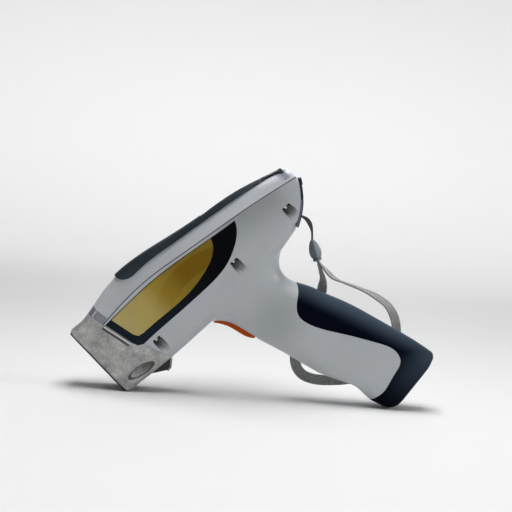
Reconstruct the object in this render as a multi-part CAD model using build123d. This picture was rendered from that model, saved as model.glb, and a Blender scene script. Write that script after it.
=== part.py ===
from build123d import *
import os
from math import acos, asin, atan2, cos, degrees, hypot, radians, sin, tan

# Handheld x-ray fluorescence analyzer, in millimetres.
# Every piece is drawn in the instrument's own frame: x runs back from the sample face,
# z runs up, y across. At the end the whole object is tipped on to its nose and its heel,
# the way it rests on a table, with the origin under the middle of the solid body.

os.makedirs("parts", exist_ok=True)

# Walls, seams and clearances
WALL = 2.6                  # moulded housing wall
SEAM = 0.3                  # open line between neighbouring covers
RUN = 0.5                   # gap round a moving piece
BORE_GAP = 0.05             # radial gap of a pin in its running hole
REACH = 90.0                # half length of cutters that go right across the body

# Barrel: widths, heights and corner radii where the form changes
BODY_LENGTH = 254.6
NOSE_WIDTH = 51.0
GRIP_BARREL_WIDTH = 70.0    # barrel width above the trigger
REAR_WIDTH = 96.0
KEEL_WIDTH = 56.0           # underside of the barrel
CREST_X = 80.0              # highest section of the cover
CREST_Z = 47.3
NOSE_TOP = 41.3
NOSE_BOTTOM = -39.2
KEEL_Z = -44.8
REAR_TOP = 16.9             # cover top 15 mm ahead of the rear end
REAR_CORNER_RADIUS = 5.0
NOSE_EDGE_RADIUS = 3.2
COVER_CORNER_RADIUS = 9.0
KEEL_CORNER_RADIUS = 13.0

# Handle
HANDLE_WIDTH = 44.0
HANDLE_DEPTH = 74.5         # front to back, level with the barrel
HANDLE_RAKE = 17.7          # degrees back from square to the barrel
HANDLE_MID = (174.1, -130.0)
BUTT_Z = -221.6
BUTT_RISE = 8.0             # degrees that the butt's underside climbs to the rear
BUTT_RADIUS = 17.5
BUTT_EDGE_RADIUS = 4.0
BOOT_THICKNESS = 2.2

# Nose
PLATE_THICKNESS = 1.4
PLATE_MARGIN = 3.0
NOSE_WALL = 5.0
NOSE_FRONT_WALL = 7.0
WINDOW_LENGTH = 16.0
WINDOW_HEIGHT = 10.0
WINDOW_Z = 2.0
FILM_THICKNESS = 0.2
RING_THICKNESS = 0.8
WINDOW_RING = 3.0           # width of the clamp ring round the window
PLATE_SCREW_RADIUS = 2.3
NOSE_SCREW_RADIUS = 1.6
NOSE_SCREW_HEAD = 3.0
NOSE_SCREW_SEAT = 5.0       # their heads sit this far behind the sample face
NOSE_SCREW_EDGE = 8.5
NOSE_SCREW_SIDE = 7.5
PLATE_SCREW_SPREAD = 20.0   # the plate's screws lie this far above and below the window
PLATE_SCREW_EDGE = 5.5
CLIP_DEPTH = 2.2
CLIP_BAR = 2.6
OVAL_DEPTH = 2.0
OVAL_LENGTH = 27.2
OVAL_HEIGHT = 8.8
OVAL_PLACE = (25.8, -32.5)
OVAL_TILT = 10.5            # degrees that it falls towards the rear
SENSOR_WIDTH = 25.0
SENSOR_RIM = 1.6

# Trim on the barrel
PAD_THICKNESS = 2.2
GASKET = 0.9
GASKET_INSET = 0.35
INLAY_THICKNESS = 1.6
LABEL_THICKNESS = 0.5
LENS_THICKNESS = 3.0
REAR_LENS_THICKNESS = 1.8
REAR_LENS_INNER = 37.0      # how far out from the middle the rear lenses begin

# Screws that join the housing halves, driven up from scoops in the sides
SCREW_X = (56.6, 159.4, 229.0)
SCREW_Z = (-20.0, -16.6, -13.0)
SCREW_SIDES = (28.2, 32.4, 38.6)   # half width of the barrel at each
SCOOP_RADIUS = 4.8
SCOOP_LEAN = 21.0
SCOOP_SINK = 3.0
SCOOP_HEIGHT = 16.0
SCREW_HEAD_RADIUS = 2.6
SCREW_HEAD_HEIGHT = 2.0
SCREW_RADIUS = 1.4
SCREW_BITE = 9.0            # length of the screw in the cover's boss
BOSS_RADIUS = 7.2

# Display and keys on the top of the barrel
DISPLAY_HINGE_X = 222.0
DISPLAY_LENGTH = 61.0
DISPLAY_WIDTH = 66.0
DISPLAY_THICKNESS = 6.4
DISPLAY_PROUD = 1.4         # above the cover's skin, below the pad's top
DISPLAY_BORDER = 5.0
DISPLAY_CORNER = 3.0
GLASS_THICKNESS = 1.1
PANEL_THICKNESS = 1.5       # the liquid crystal panel under the glass
HINGE_PIN_RADIUS = 1.2
HINGE_PIN_BITE = 4.0
TRAY_WALL = 2.0
KEY_PANEL_LENGTH = 20.0
KEY_PANEL_WIDTH = 70.0
KEY_PANEL_THICKNESS = 2.0
KEY_PANEL_X = 238.0
KEY_PROUD = 0.8
KEY_TRAVEL = 0.7
KEY_FLANGE = 0.8
KEY_FLANGE_WIDTH = 0.8
KEY_GAP = 0.3
KEY_LEDGE = 1.0             # the rim that the key panel lies on
ARROW_PITCH = 6.1
ARROW_SIZE = 4.4
ENTER_SIZE = 5.2
POWER_SIZE = 8.0
POWER_OFFSET = 24.0
KEY_BOARD_THICKNESS = 1.2
KEY_BOARD_Z = KEY_PANEL_THICKNESS + KEY_FLANGE + KEY_TRAVEL + 0.3   # top of the board, under the panel's face

# Trigger
TRIGGER_WIDTH = 17.0
TRIGGER_PIN = (119.4, -53.4)
TRIGGER_PIN_RADIUS = 1.5
TRIGGER_PIN_BITE = 11.0     # how far the pin runs on into the housing each side
SPRING_RADIUS = 3.2
SPRING_WIRE = 0.45
SPRING_PITCH = 1.1
SPRING_LENGTH = 4.4
SWITCH_SETBACK = 11.0       # from the trigger's pin back to its switch

# Rear end: a bowed face with a strip of trim below and a rubber port cover above
REAR_BOW_RADIUS = 68.0
REAR_BOW_MIDDLE = (241.5, -20.2)
REAR_LOW_ANGLE = -64.5
REAR_NOTCH_ANGLE = -45.0
REAR_HIGH_ANGLE = -26.6
TRIM_THICKNESS = 2.8
TRIM_WIDTH = 62.0
FLAP_THICKNESS = 2.4
FLAP_PIN_RADIUS = 0.6
FLAP_GAP = 0.3              # the flap stands this far off the housing
TAB_HEIGHT = 6.5
TAB_PROUD = 1.3
TAB_WIDTH = 18.0
PORT_PANEL_WIDTH = 46.0
PORT_PANEL_THICKNESS = 2.0
PORT_WIDTH = 12.4
PORT_HEIGHT = 7.0
PORT_DEPTH = 9.0
PORT_SHELL = 0.8
PORT_OFFSET = 11.0
PORT_ANGLE = -36.0          # on the rear bow
PORT_PANEL_ANGLES = (-43.0, -29.0)
JACK_RADIUS = 4.6
JACK_BORE = 2.9
JACK_PIN = 0.9
ANCHOR_ANGLE = -56.0
ANCHOR_SLOT = 7.0
ANCHOR_PIN_RADIUS = 0.9
ANCHOR_SINK = 0.4           # the pin's middle lies this far inside the housing's face

# Battery
BATTERY_DEPTH = 56.0
BATTERY_WIDTH = 33.0
BATTERY_RADIUS = 7.0
BATTERY_TOP_Z = -98.0
BATTERY_CAP = 9.0
BATTERY_RECESS = 1.0        # the cap sits this far inside the butt's lip
LATCH_WIDTH = 14.0
LATCH_DEPTH = 9.0
LATCH_THICKNESS = 2.4
LATCH_TRAVEL = 1.2
LATCH_GAP = 0.4
CONTACT_BLADES = 4

# Measuring head and electronics
TUBE_RADIUS = 12.0
TUBE_SNOUT_RADIUS = 5.2
TUBE_Y = -6.0
TUBE_Z = -16.0
WHEEL_X = 17.0
WHEEL_RADIUS = 14.0
WHEEL_THICKNESS = 2.4
WHEEL_Y = 4.0
FILTER_HOLES = 6
FILTER_RADIUS = 3.0
MOTOR_RADIUS = 4.6
MOTOR_SHAFT_RADIUS = 1.0
DETECTOR_RADIUS = 7.5
DETECTOR_Z = 17.0
CHASSIS_THICKNESS = 2.0
CHASSIS_Z = -1.5
BOARD_THICKNESS = 1.6
FIN_COUNT = 7
MAIN_BOARD_Z = 4.0
REAR_BOARD_Z = 1.5
BRACKET_X = 31.0
BRACKET_THICKNESS = 2.0
HV_BOTTOM = -36.0           # underside of the high-voltage module

# Cords: the thin cord and the flat webbing of the wrist strap
CORD_RADIUS = 1.3
CORD_PLAY = 0.05            # round the cord's end, in the slider's socket
STRAP_WIDTH = 10.0
STRAP_THICKNESS = 1.6
BEAD_WIDTH = 12.0
BEAD_DEPTH = 9.0


def side_block(points, half=REACH, near=None):
    """A straight block across the body from an outline in the side view."""
    outline = make_face(Polyline(*[(x, 0, z) for x, z in points], close=True))
    if near is None:
        return extrude(outline, half, dir=(0, 1, 0), both=True)
    return extrude(outline.moved(Pos(Y=near)), half, dir=(0, 1, 0))


def curved_block(curve, corners):
    """The same, with one edge a smooth curve and the rest straight."""
    edge = Spline(*[(x, 0, z) for x, z in curve])
    rest = Polyline(*[(x, 0, z) for x, z in (curve[-1], *corners, curve[0])])
    return extrude(make_face([*edge.edges(), *rest.edges()]), REACH, dir=(0, 1, 0), both=True)


def rounded_side_block(points, radii, half=REACH):
    """A block across the body whose outline has rounded corners."""
    wire = FilletPolyline(*[(x, 0, z) for x, z in points], radius=list(radii), close=True)
    return extrude(make_face(wire.edges()), half, dir=(0, 1, 0), both=True)


def rod(x, y, z, radius, length, direction):
    """A round rod from a point along a direction."""
    return Solid.make_cylinder(radius, length, Plane((x, y, z), z_dir=direction))


def tapered_section(x, half_top, half_bottom, top, bottom, radius_top, radius_bottom, inset):
    corners = [
        (-half_top + inset, top - inset),
        (half_top - inset, top - inset),
        (half_bottom - inset, bottom + inset),
        (-half_bottom + inset, bottom + inset),
    ]
    radii = [radius_top - inset] * 2 + [radius_bottom - inset] * 2
    wire = FilletPolyline(*[(x, y, z) for y, z in corners], radius=radii, close=True)
    return Face(Wire(wire.edges()))


def cover_line(x):
    """Height of the cover's top behind its crest."""
    behind = (x - CREST_X) / (BODY_LENGTH - 15.0 - CREST_X)
    return CREST_Z + (REAR_TOP - CREST_Z) * (0.86 * behind + 0.14 * behind ** 3)


def body_form(inset=0.0):
    """The barrel's full outer form, from the nose back past the rear end."""
    nose = NOSE_WIDTH / 2
    keel = KEEL_WIDTH / 2
    grip = GRIP_BARREL_WIDTH / 2
    rear = REAR_WIDTH / 2
    wide = grip + (rear - grip) * 0.4
    cover = COVER_CORNER_RADIUS
    low = KEEL_CORNER_RADIUS
    rows = [
        (PLATE_THICKNESS, nose, nose - 0.5, NOSE_TOP, NOSE_BOTTOM, cover - 2, low - 6),
        (45.0, nose + 3.4, keel - 0.8, CREST_Z - 2.5, KEEL_Z + 2.0, cover, low - 4),
        (CREST_X, nose + 6, keel, CREST_Z, KEEL_Z + 0.4, cover, low - 2),
        (120.0, grip, keel, cover_line(120.0), KEEL_Z - 0.2, cover, low),
        (170.0, wide, keel + 1, cover_line(170.0), KEEL_Z + 0.8, cover - 1, low + 2),
        (220.0, rear - 1.5, keel + 4, cover_line(220.0), KEEL_Z + 8.8, cover - 1, low + 1),
        (BODY_LENGTH + 8, rear, keel + 8, cover_line(BODY_LENGTH + 4), KEEL_Z + 18, cover - 1, low - 2),
    ]
    return loft([tapered_section(*row, inset) for row in rows])


def handle_form(inset=0.0):
    """The handle, flared where it grows out of the barrel."""
    middle_x, middle_z = HANDLE_MID
    slope = tan(radians(HANDLE_RAKE))
    half = HANDLE_WIDTH / 2
    depth = HANDLE_DEPTH / 2
    rows = [
        (-30.0, 92.0, 206.0, half + 4),
        (-42.0, 97.0, 196.5, half + 5),
        (-50.0, 108.3, 186.6, half + 3.6),
        (-60.0, 115.0, 183.0, half + 1.8),
        (-76.0, 119.9, 188.0, half + 0.3),
        (-96.0, 126.2, 197.6, half),
    ]
    shapes = ((-120.0, -0.3), (-147.0, 0.4), (-175.0, 0.2), (-203.0, -1.2), (-228.0, -3.0))
    for z, swell in shapes:
        centre = middle_x + (middle_z - z) * slope * 0.98
        rows.append((z, centre - depth - swell, centre + depth + swell, half))
    sections = []
    for z, front, back, wide in rows:
        side = wide - inset
        corners = [(front + inset, side), (back - inset, side), (back - inset, -side), (front + inset, -side)]
        wire = FilletPolyline(*[(x, y, z) for x, y in corners], radius=side - 1.5, close=True)
        sections.append(Face(Wire(wire.edges())))
    return loft(sections)


def on_rear_bow(radius, angle):
    """A point of the side view on a circle about the rear bow's centre."""
    return (
        REAR_CENTRE[0] + radius * cos(radians(angle)),
        REAR_CENTRE[1] + radius * sin(radians(angle)),
    )


def rear_centre():
    chord = atan2(-1.0, 1.0)
    x, z = REAR_BOW_MIDDLE
    return (x - REAR_BOW_RADIUS * cos(chord), z - REAR_BOW_RADIUS * sin(chord))


REAR_CENTRE = rear_centre()


def rear_sector(inner, outer, start, end, half, middle=0.0):
    """A curved slab that follows the rear bow."""
    centre = (start + end) / 2
    points = [on_rear_bow(r, a) for r, a in (
        (inner, start), (inner, centre), (inner, end), (outer, end), (outer, centre), (outer, start))]
    p = [(x, 0, z) for x, z in points]
    edges = [
        ThreePointArc(p[0], p[1], p[2]), Line(p[2], p[3]),
        ThreePointArc(p[3], p[4], p[5]), Line(p[5], p[0])]
    face = make_face([edge.edge() for edge in edges])
    return extrude(face.moved(Pos(Y=middle)), half, dir=(0, 1, 0), both=True)


def rear_limit(inset=0.0):
    """All that lies ahead of the rear end."""
    radius = REAR_BOW_RADIUS - inset
    back = BODY_LENGTH - inset
    high = on_rear_bow(radius, -degrees(acos((back - REAR_CENTRE[0]) / radius)))
    middle = on_rear_bow(radius, REAR_NOTCH_ANGLE)
    low = on_rear_bow(radius, REAR_LOW_ANGLE - 0.9)
    arc = ThreePointArc((back, 0, high[1]), (middle[0], 0, middle[1]), (low[0], 0, low[1]))
    rest = Polyline(
        (low[0], 0, low[1]), (low[0], 0, -260), (-20, 0, -260), (-20, 0, 90), (back, 0, 90),
        (back, 0, high[1]))
    return extrude(make_face([arc.edge(), *rest.edges()]), REACH, dir=(0, 1, 0), both=True)


def butt_outline(inset=0.0):
    """Everything above the butt's rounded underside."""
    rise = tan(radians(BUTT_RISE))
    slope = tan(radians(HANDLE_RAKE))
    centre = HANDLE_MID[0] + (HANDLE_MID[1] - BUTT_Z) * slope
    front = centre - HANDLE_DEPTH / 2 + inset - 5.5
    back = centre + HANDLE_DEPTH / 2 - inset - 0.3
    points = [
        (front - 90, -20),
        (front, BUTT_Z + 40),
        (front + 1.0, BUTT_Z + inset - 3.6),
        (back, BUTT_Z + inset - 3.6 + (back - front) * rise),
        (back - 1, BUTT_Z + 40),
        (back + 10, -20),
    ]
    return points


def fillet_centre(before, corner, after, radius):
    """Centre of the arc that rounds a corner."""
    to_before = (Vector(*before) - Vector(*corner)).normalized()
    to_after = (Vector(*after) - Vector(*corner)).normalized()
    middle = to_before + to_after
    reach = radius / (1 - (middle.length / 2) ** 2) ** 0.5
    centre = Vector(*corner) + middle.normalized() * reach
    return (centre.X, centre.Y)


def rest_pitch():
    """How far the nose tips down when the nose's corner and the heel stand on a table."""
    nose = (PLATE_THICKNESS + NOSE_EDGE_RADIUS, NOSE_BOTTOM + NOSE_EDGE_RADIUS)
    outline = butt_outline()
    heel = fillet_centre(outline[1], outline[2], outline[3], BUTT_RADIUS)
    along, down = heel[0] - nose[0], nose[1] - heel[1]
    return degrees(atan2(down, along) + asin((BUTT_RADIUS - NOSE_EDGE_RADIUS) / hypot(along, down)))


def parting_curve(drop=0.0):
    """The line where the cover meets the tub, nose to rear."""
    points = [(24.0, 22.6), (55.0, 25.6), (85.0, 25.9), (131.0, 20.4), (205.0, 9.8), (BODY_LENGTH + 10, -2.2)]
    return [(x, z - drop) for x, z in points]


def nose_seam(shift=0.0):
    """The line where the nose casting meets the covers behind it, top to bottom."""
    points = [
        (26.1, 70.0), (26.0, 38.0), (29.8, 21.6), (37.0, -7.6), (38.6, -12.6),
        (41.0, -15.8), (44.6, -17.2), (48.3, -27.0), (55.2, -44.0), (61.0, -60.0),
    ]
    return [(x + shift, z) for x, z in points]


def behind(line):
    """The region behind a line of the side view."""
    return side_block([*line, (400.0, line[-1][1]), (400.0, line[0][1])])


def whole_body():
    """The barrel as one solid block, rounded at both ends."""
    block = body_form() & rear_limit()
    rear = [edge for edge in block.edges() if abs((edge @ 0.5).X - BODY_LENGTH) < 0.01]
    block = block.fillet(REAR_CORNER_RADIUS, rear)
    front = [edge for edge in block.edges() if abs((edge @ 0.5).X - PLATE_THICKNESS) < 0.01]
    return block.fillet(NOSE_EDGE_RADIUS, front)


def whole_handle(inset=0.0, edge_radius=BUTT_EDGE_RADIUS):
    """The handle as one solid block, rounded at the butt."""
    radii = [1, 20, BUTT_RADIUS - inset, BUTT_RADIUS - 1 - inset, 20, 1]
    block = handle_form(inset) & rounded_side_block(butt_outline(inset), radii)
    low = [edge for edge in block.edges() if (edge @ 0.5).Z < BUTT_Z + 25]
    return block.fillet(edge_radius, low)


def boot_region():
    """Side view of the rubber boot: the handle's back and the whole butt."""
    edge = [
        (186.8, -66.0), (181.6, -81.0), (172.4, -88.6), (167.4, -96.6), (168.6, -107.6), (178.4, -126.5),
        (189.1, -142.4), (199.3, -158.9), (206.2, -170.5), (210.4, -183.6), (207.6, -192.8), (194.1, -198.4),
        (176.4, -203.3), (160.0, -201.8), (145.0, -198.0),
    ]
    return curved_block(edge, [(140.0, -250.0), (260.0, -250.0), (260.0, -66.0)])


def inlay_region(side):
    """Side view of the dark inlay; its top edge runs along the parting line."""
    top = [(30.6, 21.3), (60.0, 21.9), (88.0, 21.7), (123.0, 18.4), (150.0, 14.4), (186.0, 9.5)]
    low = [
        (186.0, 9.5), (181.0, 1.4), (168.0, -8.6), (150.0, -15.8), (120.0, -18.1), (90.0, -17.4),
        (44.5, -16.2)]
    corner = [(44.5, -16.2), (39.6, -13.2), (37.4, -7.4), (30.6, 21.3)]
    edges = [Spline(*[(x, 0, z) for x, z in line]).edge() for line in (top, low)]
    edges += Polyline(*[(x, 0, z) for x, z in corner]).edges()
    return extrude(make_face(edges), REACH, dir=(0, side, 0))


def label_region(side):
    """Side view of the coloured label that lies on the inlay."""
    top = [(38.3, 20.6), (60.0, 21.1), (88.0, 20.9), (123.0, 17.6), (158.0, 12.6)]
    rear = [
        (158.0, 12.6), (155.6, 7.0), (147.7, -0.3), (132.9, -6.2), (108.2, -10.4), (88.0, -10.2),
        (52.0, -8.4)]
    corner = [(52.0, -8.4), (46.4, -7.2), (43.8, -3.0), (38.3, 20.6)]
    edges = [Spline(*[(x, 0, z) for x, z in line]).edge() for line in (top, rear)]
    edges += Polyline(*[(x, 0, z) for x, z in corner]).edges()
    return extrude(make_face(edges), REACH, dir=(0, side, 0))


def pad_region():
    """Side view of the rubber pad that wraps over the cover's top."""
    low = [
        (69.0, 47.4), (71.4, 41.8), (75.6, 38.6), (90.0, 37.0), (124.4, 33.9), (158.7, 29.3),
        (192.7, 24.5), (226.8, 19.7), (243.0, 15.6), (249.6, 11.6),
    ]
    return curved_block(low, [(249.6, 90.0), (69.0, 90.0)])


def lens_region():
    """Side view of the front warning light, between the nose and the cover."""
    line = nose_seam(SEAM)
    return side_block([line[0], line[1], (29.6, 22.4), (36.6, 24.6), (34.5, 38.0), (34.5, 70.0)])


def rear_lens_region():
    points = [
        (241.6, 14.6), (243.2, 6.4), (245.4, 4.6), (250.6, 3.4), (252.6, 6.0), (252.2, 11.5),
        (249.0, 14.0)]
    return side_block(points)


def top_place(x, lift=0.0):
    """A place on the cover's top, tipped with it: its own x runs to the rear."""
    slope = degrees(atan2(cover_line(x + 8) - cover_line(x - 8), 16.0))
    return Pos(x, 0, cover_line(x)) * Rot(Y=-slope) * Pos(Z=lift)


def display_place():
    """The display's own frame: origin on the hinge pin, x to the rear, z up."""
    front = cover_line(DISPLAY_HINGE_X - DISPLAY_LENGTH)
    rear = cover_line(DISPLAY_HINGE_X)
    slope = degrees(atan2(rear - front, DISPLAY_LENGTH))
    return Pos(DISPLAY_HINGE_X, 0, rear + DISPLAY_PROUD - DISPLAY_THICKNESS / 2) * Rot(Y=-slope)


def slab(x0, x1, half_y, z0, z1, y=0.0):
    """A plain block from its ends, its half width and its heights."""
    return Pos((x0 + x1) / 2, y, (z0 + z1) / 2) * Box(x1 - x0, 2 * half_y, z1 - z0)


def rounded_slab(x0, x1, half_y, z0, z1, radius):
    """The same block with its upright edges rounded."""
    block = slab(x0, x1, half_y, z0, z1)
    return block.fillet(radius, block.edges().filter_by(Axis.Z))


def display_pocket():
    """Room for the display in the cover."""
    half = DISPLAY_THICKNESS / 2
    room = slab(-DISPLAY_LENGTH - RUN, half + RUN, DISPLAY_WIDTH / 2 + RUN, -half - RUN, half + 20)
    front = [edge for edge in room.edges().filter_by(Axis.Z) if (edge @ 0.5).X < -10]
    return display_place() * room.fillet(DISPLAY_CORNER, front)


def display_tray():
    """The tray that carries the display under the cover's skin."""
    half = DISPLAY_THICKNESS / 2
    wall = TRAY_WALL + RUN
    block = slab(-DISPLAY_LENGTH - wall, half + wall, DISPLAY_WIDTH / 2 + wall + HINGE_PIN_BITE - 1,
                 -half - wall, half + 4)
    return display_place() * block


def key_panel_room(gap=0.0):
    half_x, half_y = KEY_PANEL_LENGTH / 2 + gap, KEY_PANEL_WIDTH / 2 + gap
    room = rounded_slab(-half_x, half_x, half_y, -KEY_PANEL_THICKNESS - gap, 12, 2.5)
    return top_place(KEY_PANEL_X) * room


def key_table():
    """Each key's middle and its length and width on the panel."""
    small, pitch = ARROW_SIZE, ARROW_PITCH
    return {
        "up_key": (-pitch, 0.0, small, small + 1),
        "down_key": (pitch, 0.0, small, small + 1),
        "left_key": (0.0, -pitch - 0.6, small, small),
        "right_key": (0.0, pitch + 0.6, small, small),
        "enter_key": (0.0, 0.0, ENTER_SIZE, ENTER_SIZE),
        "power_key": (0.0, POWER_OFFSET, POWER_SIZE, POWER_SIZE),
    }


def key_hole(spot):
    x, y, length, width = spot
    return Pos(x, y, 0) * Box(length + 2 * KEY_GAP, width + 2 * KEY_GAP, 20)


def key(spot):
    """A key cap with the flange that keeps it under the panel."""
    x, y, length, width = spot
    cap = slab(x - length / 2, x + length / 2, width / 2, -KEY_PANEL_THICKNESS - 0.1, KEY_PROUD, y)
    cap = cap.fillet(1.0, cap.edges().filter_by(Axis.Z))
    cap = cap.fillet(0.5, cap.faces().sort_by(Axis.Z)[-1].edges())
    grow = KEY_FLANGE_WIDTH - KEY_GAP
    low = -KEY_PANEL_THICKNESS - 0.05
    flange = slab(x - length / 2 - grow, x + length / 2 + grow, width / 2 + grow, low - KEY_FLANGE, low, y)
    return top_place(KEY_PANEL_X) * (cap + flange)


def screw_places():
    """The six housing screws: x, y, z under each head, and the side."""
    rows = zip(SCREW_X, SCREW_SIDES, SCREW_Z)
    return [(x, side * (half - SCOOP_SINK), z, side) for x, half, z in rows for side in (-1, 1)]


def parting_height(x):
    curve = Spline(*[(px, 0, pz) for px, pz in parting_curve()])
    return min((curve.position_at(t / 200) for t in range(201)), key=lambda p: abs(p.X - x)).Z


def scoop(place):
    """The cutter that opens a screw's scoop in the side of the tub."""
    x, y, z, side = place
    lean = radians(SCOOP_LEAN)
    down = Vector(0, side * sin(lean), -cos(lean))
    start = Vector(x, y, z) - down * 8
    cutter = rod(*start, SCOOP_RADIUS, SCOOP_HEIGHT + 24, down)
    return cutter & slab(x - 20, x + 20, 40, z - 40, z, y)


def boss(place, top):
    """The post behind a scoop, up to the parting line."""
    x, y, z, side = place
    return rod(x, y, z - SCOOP_HEIGHT, BOSS_RADIUS, top - z + SCOOP_HEIGHT, (0, 0, 1))


def housing_screw(place, top):
    x, y, z, side = place
    head = rod(x, y, z - SCREW_HEAD_HEIGHT, SCREW_HEAD_RADIUS, SCREW_HEAD_HEIGHT, (0, 0, 1))
    socket = Pos(x, y, z - SCREW_HEAD_HEIGHT) * extrude(RegularPolygon(1.25, 6), 1.2)
    return head + rod(x, y, z, SCREW_RADIUS, top - z + SCREW_BITE, (0, 0, 1)) - socket


def battery_axis():
    lean = radians(HANDLE_RAKE)
    return Vector(sin(lean), 0, -cos(lean))


def battery_prism(gap, top_z, length):
    """A rounded bar along the handle, from its top face down and back."""
    slope = tan(radians(HANDLE_RAKE))
    centre = HANDLE_MID[0] + (HANDLE_MID[1] - top_z) * slope
    plane = Plane((centre, 0, top_z), x_dir=(cos(radians(HANDLE_RAKE)), 0, sin(radians(HANDLE_RAKE))),
                  z_dir=tuple(battery_axis()))
    face = RectangleRounded(BATTERY_DEPTH + 2 * gap, BATTERY_WIDTH + 2 * gap, BATTERY_RADIUS + gap)
    return extrude(plane * face, length)


def above_battery():
    """Everything above the plane of the battery's top face, with a running gap."""
    slope = tan(radians(HANDLE_RAKE))
    centre = HANDLE_MID[0] + (HANDLE_MID[1] - BATTERY_TOP_Z) * slope
    top = battery_axis() * -1
    start = Vector(centre, 0, BATTERY_TOP_Z) + top * RUN
    lean = radians(HANDLE_RAKE)
    plane = Plane(tuple(start), x_dir=(cos(lean), 0, sin(lean)), z_dir=tuple(top))
    return plane * (Pos(Z=70) * Box(240, 2 * REACH, 140))


def screw_block(x0, x1, y0, z0, z1, side):
    """A corner of the housing left solid for one of the nose's long screws."""
    region = slab(x0, x1, (REACH - y0) / 2, z0, z1, side * (REACH + y0) / 2)
    return region & body_form(1.0) & behind(nose_seam(SEAM))


def front_opening():
    """The way from the nose's chamber back into the barrel."""
    return slab(20, 60, 20.0, -28.6, 27.0)


def housings():
    """Cover, tub, gasket, boot, inlays, labels, pad and light lenses."""
    body = whole_body()
    handle = whole_handle()
    rear_cut = rear_limit(WALL)
    cavity = body_form(WALL) & rear_cut & behind(nose_seam(SEAM + WALL))
    parting = [(BODY_LENGTH + 10, 90.0), (24.0, 90.0)]
    above = curved_block(parting_curve(), parting)
    above_gasket = curved_block(parting_curve(GASKET), parting)
    aft = behind(nose_seam(SEAM))
    lens_band = lens_region()
    inside = body_form(INLAY_THICKNESS + 0.2) & rear_limit(INLAY_THICKNESS + 0.2)
    places = screw_places()
    shanks = [
        rod(x, y, z, SCREW_RADIUS, parting_height(x) - z + SCREW_BITE, (0, 0, 1)) for x, y, z, side in places]
    long_screws = [rod(NOSE_SCREW_SEAT, y, z, NOSE_SCREW_RADIUS, length, (1, 0, 0))
                   for y, z, length in nose_screw_places()]

    skin = handle - whole_handle(BOOT_THICKNESS, BUTT_EDGE_RADIUS - 1.5)
    bay = battery_prism(RUN, BATTERY_TOP_Z, 160.0)
    boot = (skin & boot_region()) - bay

    tub = (((body & aft) - above_gasket) + (handle - above_gasket)) - boot
    upper_grip = handle_form(WALL + BOOT_THICKNESS) & above_battery() & slab(60, 260, 60, -150, 20) & rear_cut
    bosses = [boss(place, parting_height(place[0]) + 3) for place in places]
    tub = tub - cavity - upper_grip
    tub = tub + [(post & inside & aft) - above_gasket for post in bosses]
    low_blocks = [screw_block(40, 64, 13.6, -60, -26.3, side) for side in (-1, 1)]
    tub = (tub - bay - front_opening()) + low_blocks
    for side in (-1, 1):
        tub = tub - (inlay_region(side) - body_form(INLAY_THICKNESS))
    tub = tub - [scoop(place) for place in places] - shanks - long_screws
    tub = tub - trigger_slot() - trigger_pin() - port_opening() - anchor_pocket() - anchor_pin()

    cover = (body & aft & above) - cavity - lens_band
    tray = display_tray() & inside & above
    cover_bosses = [
        rod(x, y, parting_height(x) - 3, BOSS_RADIUS - 2, SCREW_BITE + 5, (0, 0, 1))
        for x, y, z, side in places]
    high_blocks = [screw_block(26, 52, 13.0, 27.2, 60, side) for side in (-1, 1)]
    high_blocks = [block - (lens_band - body_form(LENS_THICKNESS + 0.2)) for block in high_blocks]
    cover = cover - front_opening()
    cover_posts = [post & inside & above for post in cover_bosses]
    cover = cover + [tray, *cover_posts, *high_blocks, key_frame() & inside]
    cover = cover - display_pocket() - key_panel_room(SEAM / 2) - key_well()
    cover = cover - shanks - long_screws - display_pin()

    ring = (body_form(GASKET_INSET) & rear_limit(GASKET_INSET) & behind(nose_seam(SEAM + GASKET_INSET)))
    gasket = (ring & above_gasket) - above - cavity - front_opening() - shanks

    front_lens = (body & (lens_band & above)) - body_form(LENS_THICKNESS)
    outer_sides = slab(200, 300, REAR_WIDTH, -60, 60) - slab(190, 310, REAR_LENS_INNER, -70, 70)
    rear_lenses = (body & (rear_lens_region() & outer_sides)) - body_form(REAR_LENS_THICKNESS)
    cover = cover - rear_lenses

    pad = (body_form(-PAD_THICKNESS) & rear_limit(-0.2)) - body_form(0.0)
    pad = pad & pad_region()
    opening = display_place() * slab(
        -DISPLAY_LENGTH - 2 * RUN, DISPLAY_THICKNESS / 2 + 2 * RUN, DISPLAY_WIDTH / 2 + 2 * RUN, -30, 30)
    pad = pad - opening - key_panel_room(1.0)

    pieces = {
        "upper_housing": cover, "lower_housing": tub, "parting_gasket": gasket, "grip_boot": boot,
        "front_light_lens": front_lens, "rear_light_lenses": rear_lenses, "top_pad": pad,
    }
    for side, word in ((-1, "left"), (1, "right")):
        inlay = (body & inlay_region(side)) - body_form(INLAY_THICKNESS)
        lug = body_form(-LABEL_THICKNESS) - body_form(0.0)
        pieces["side_inlay_" + word] = inlay
        pieces["side_label_" + word] = lug & label_region(side)
    return pieces


def housing_screws():
    return Compound([housing_screw(place, parting_height(place[0])) for place in screw_places()])


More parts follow.
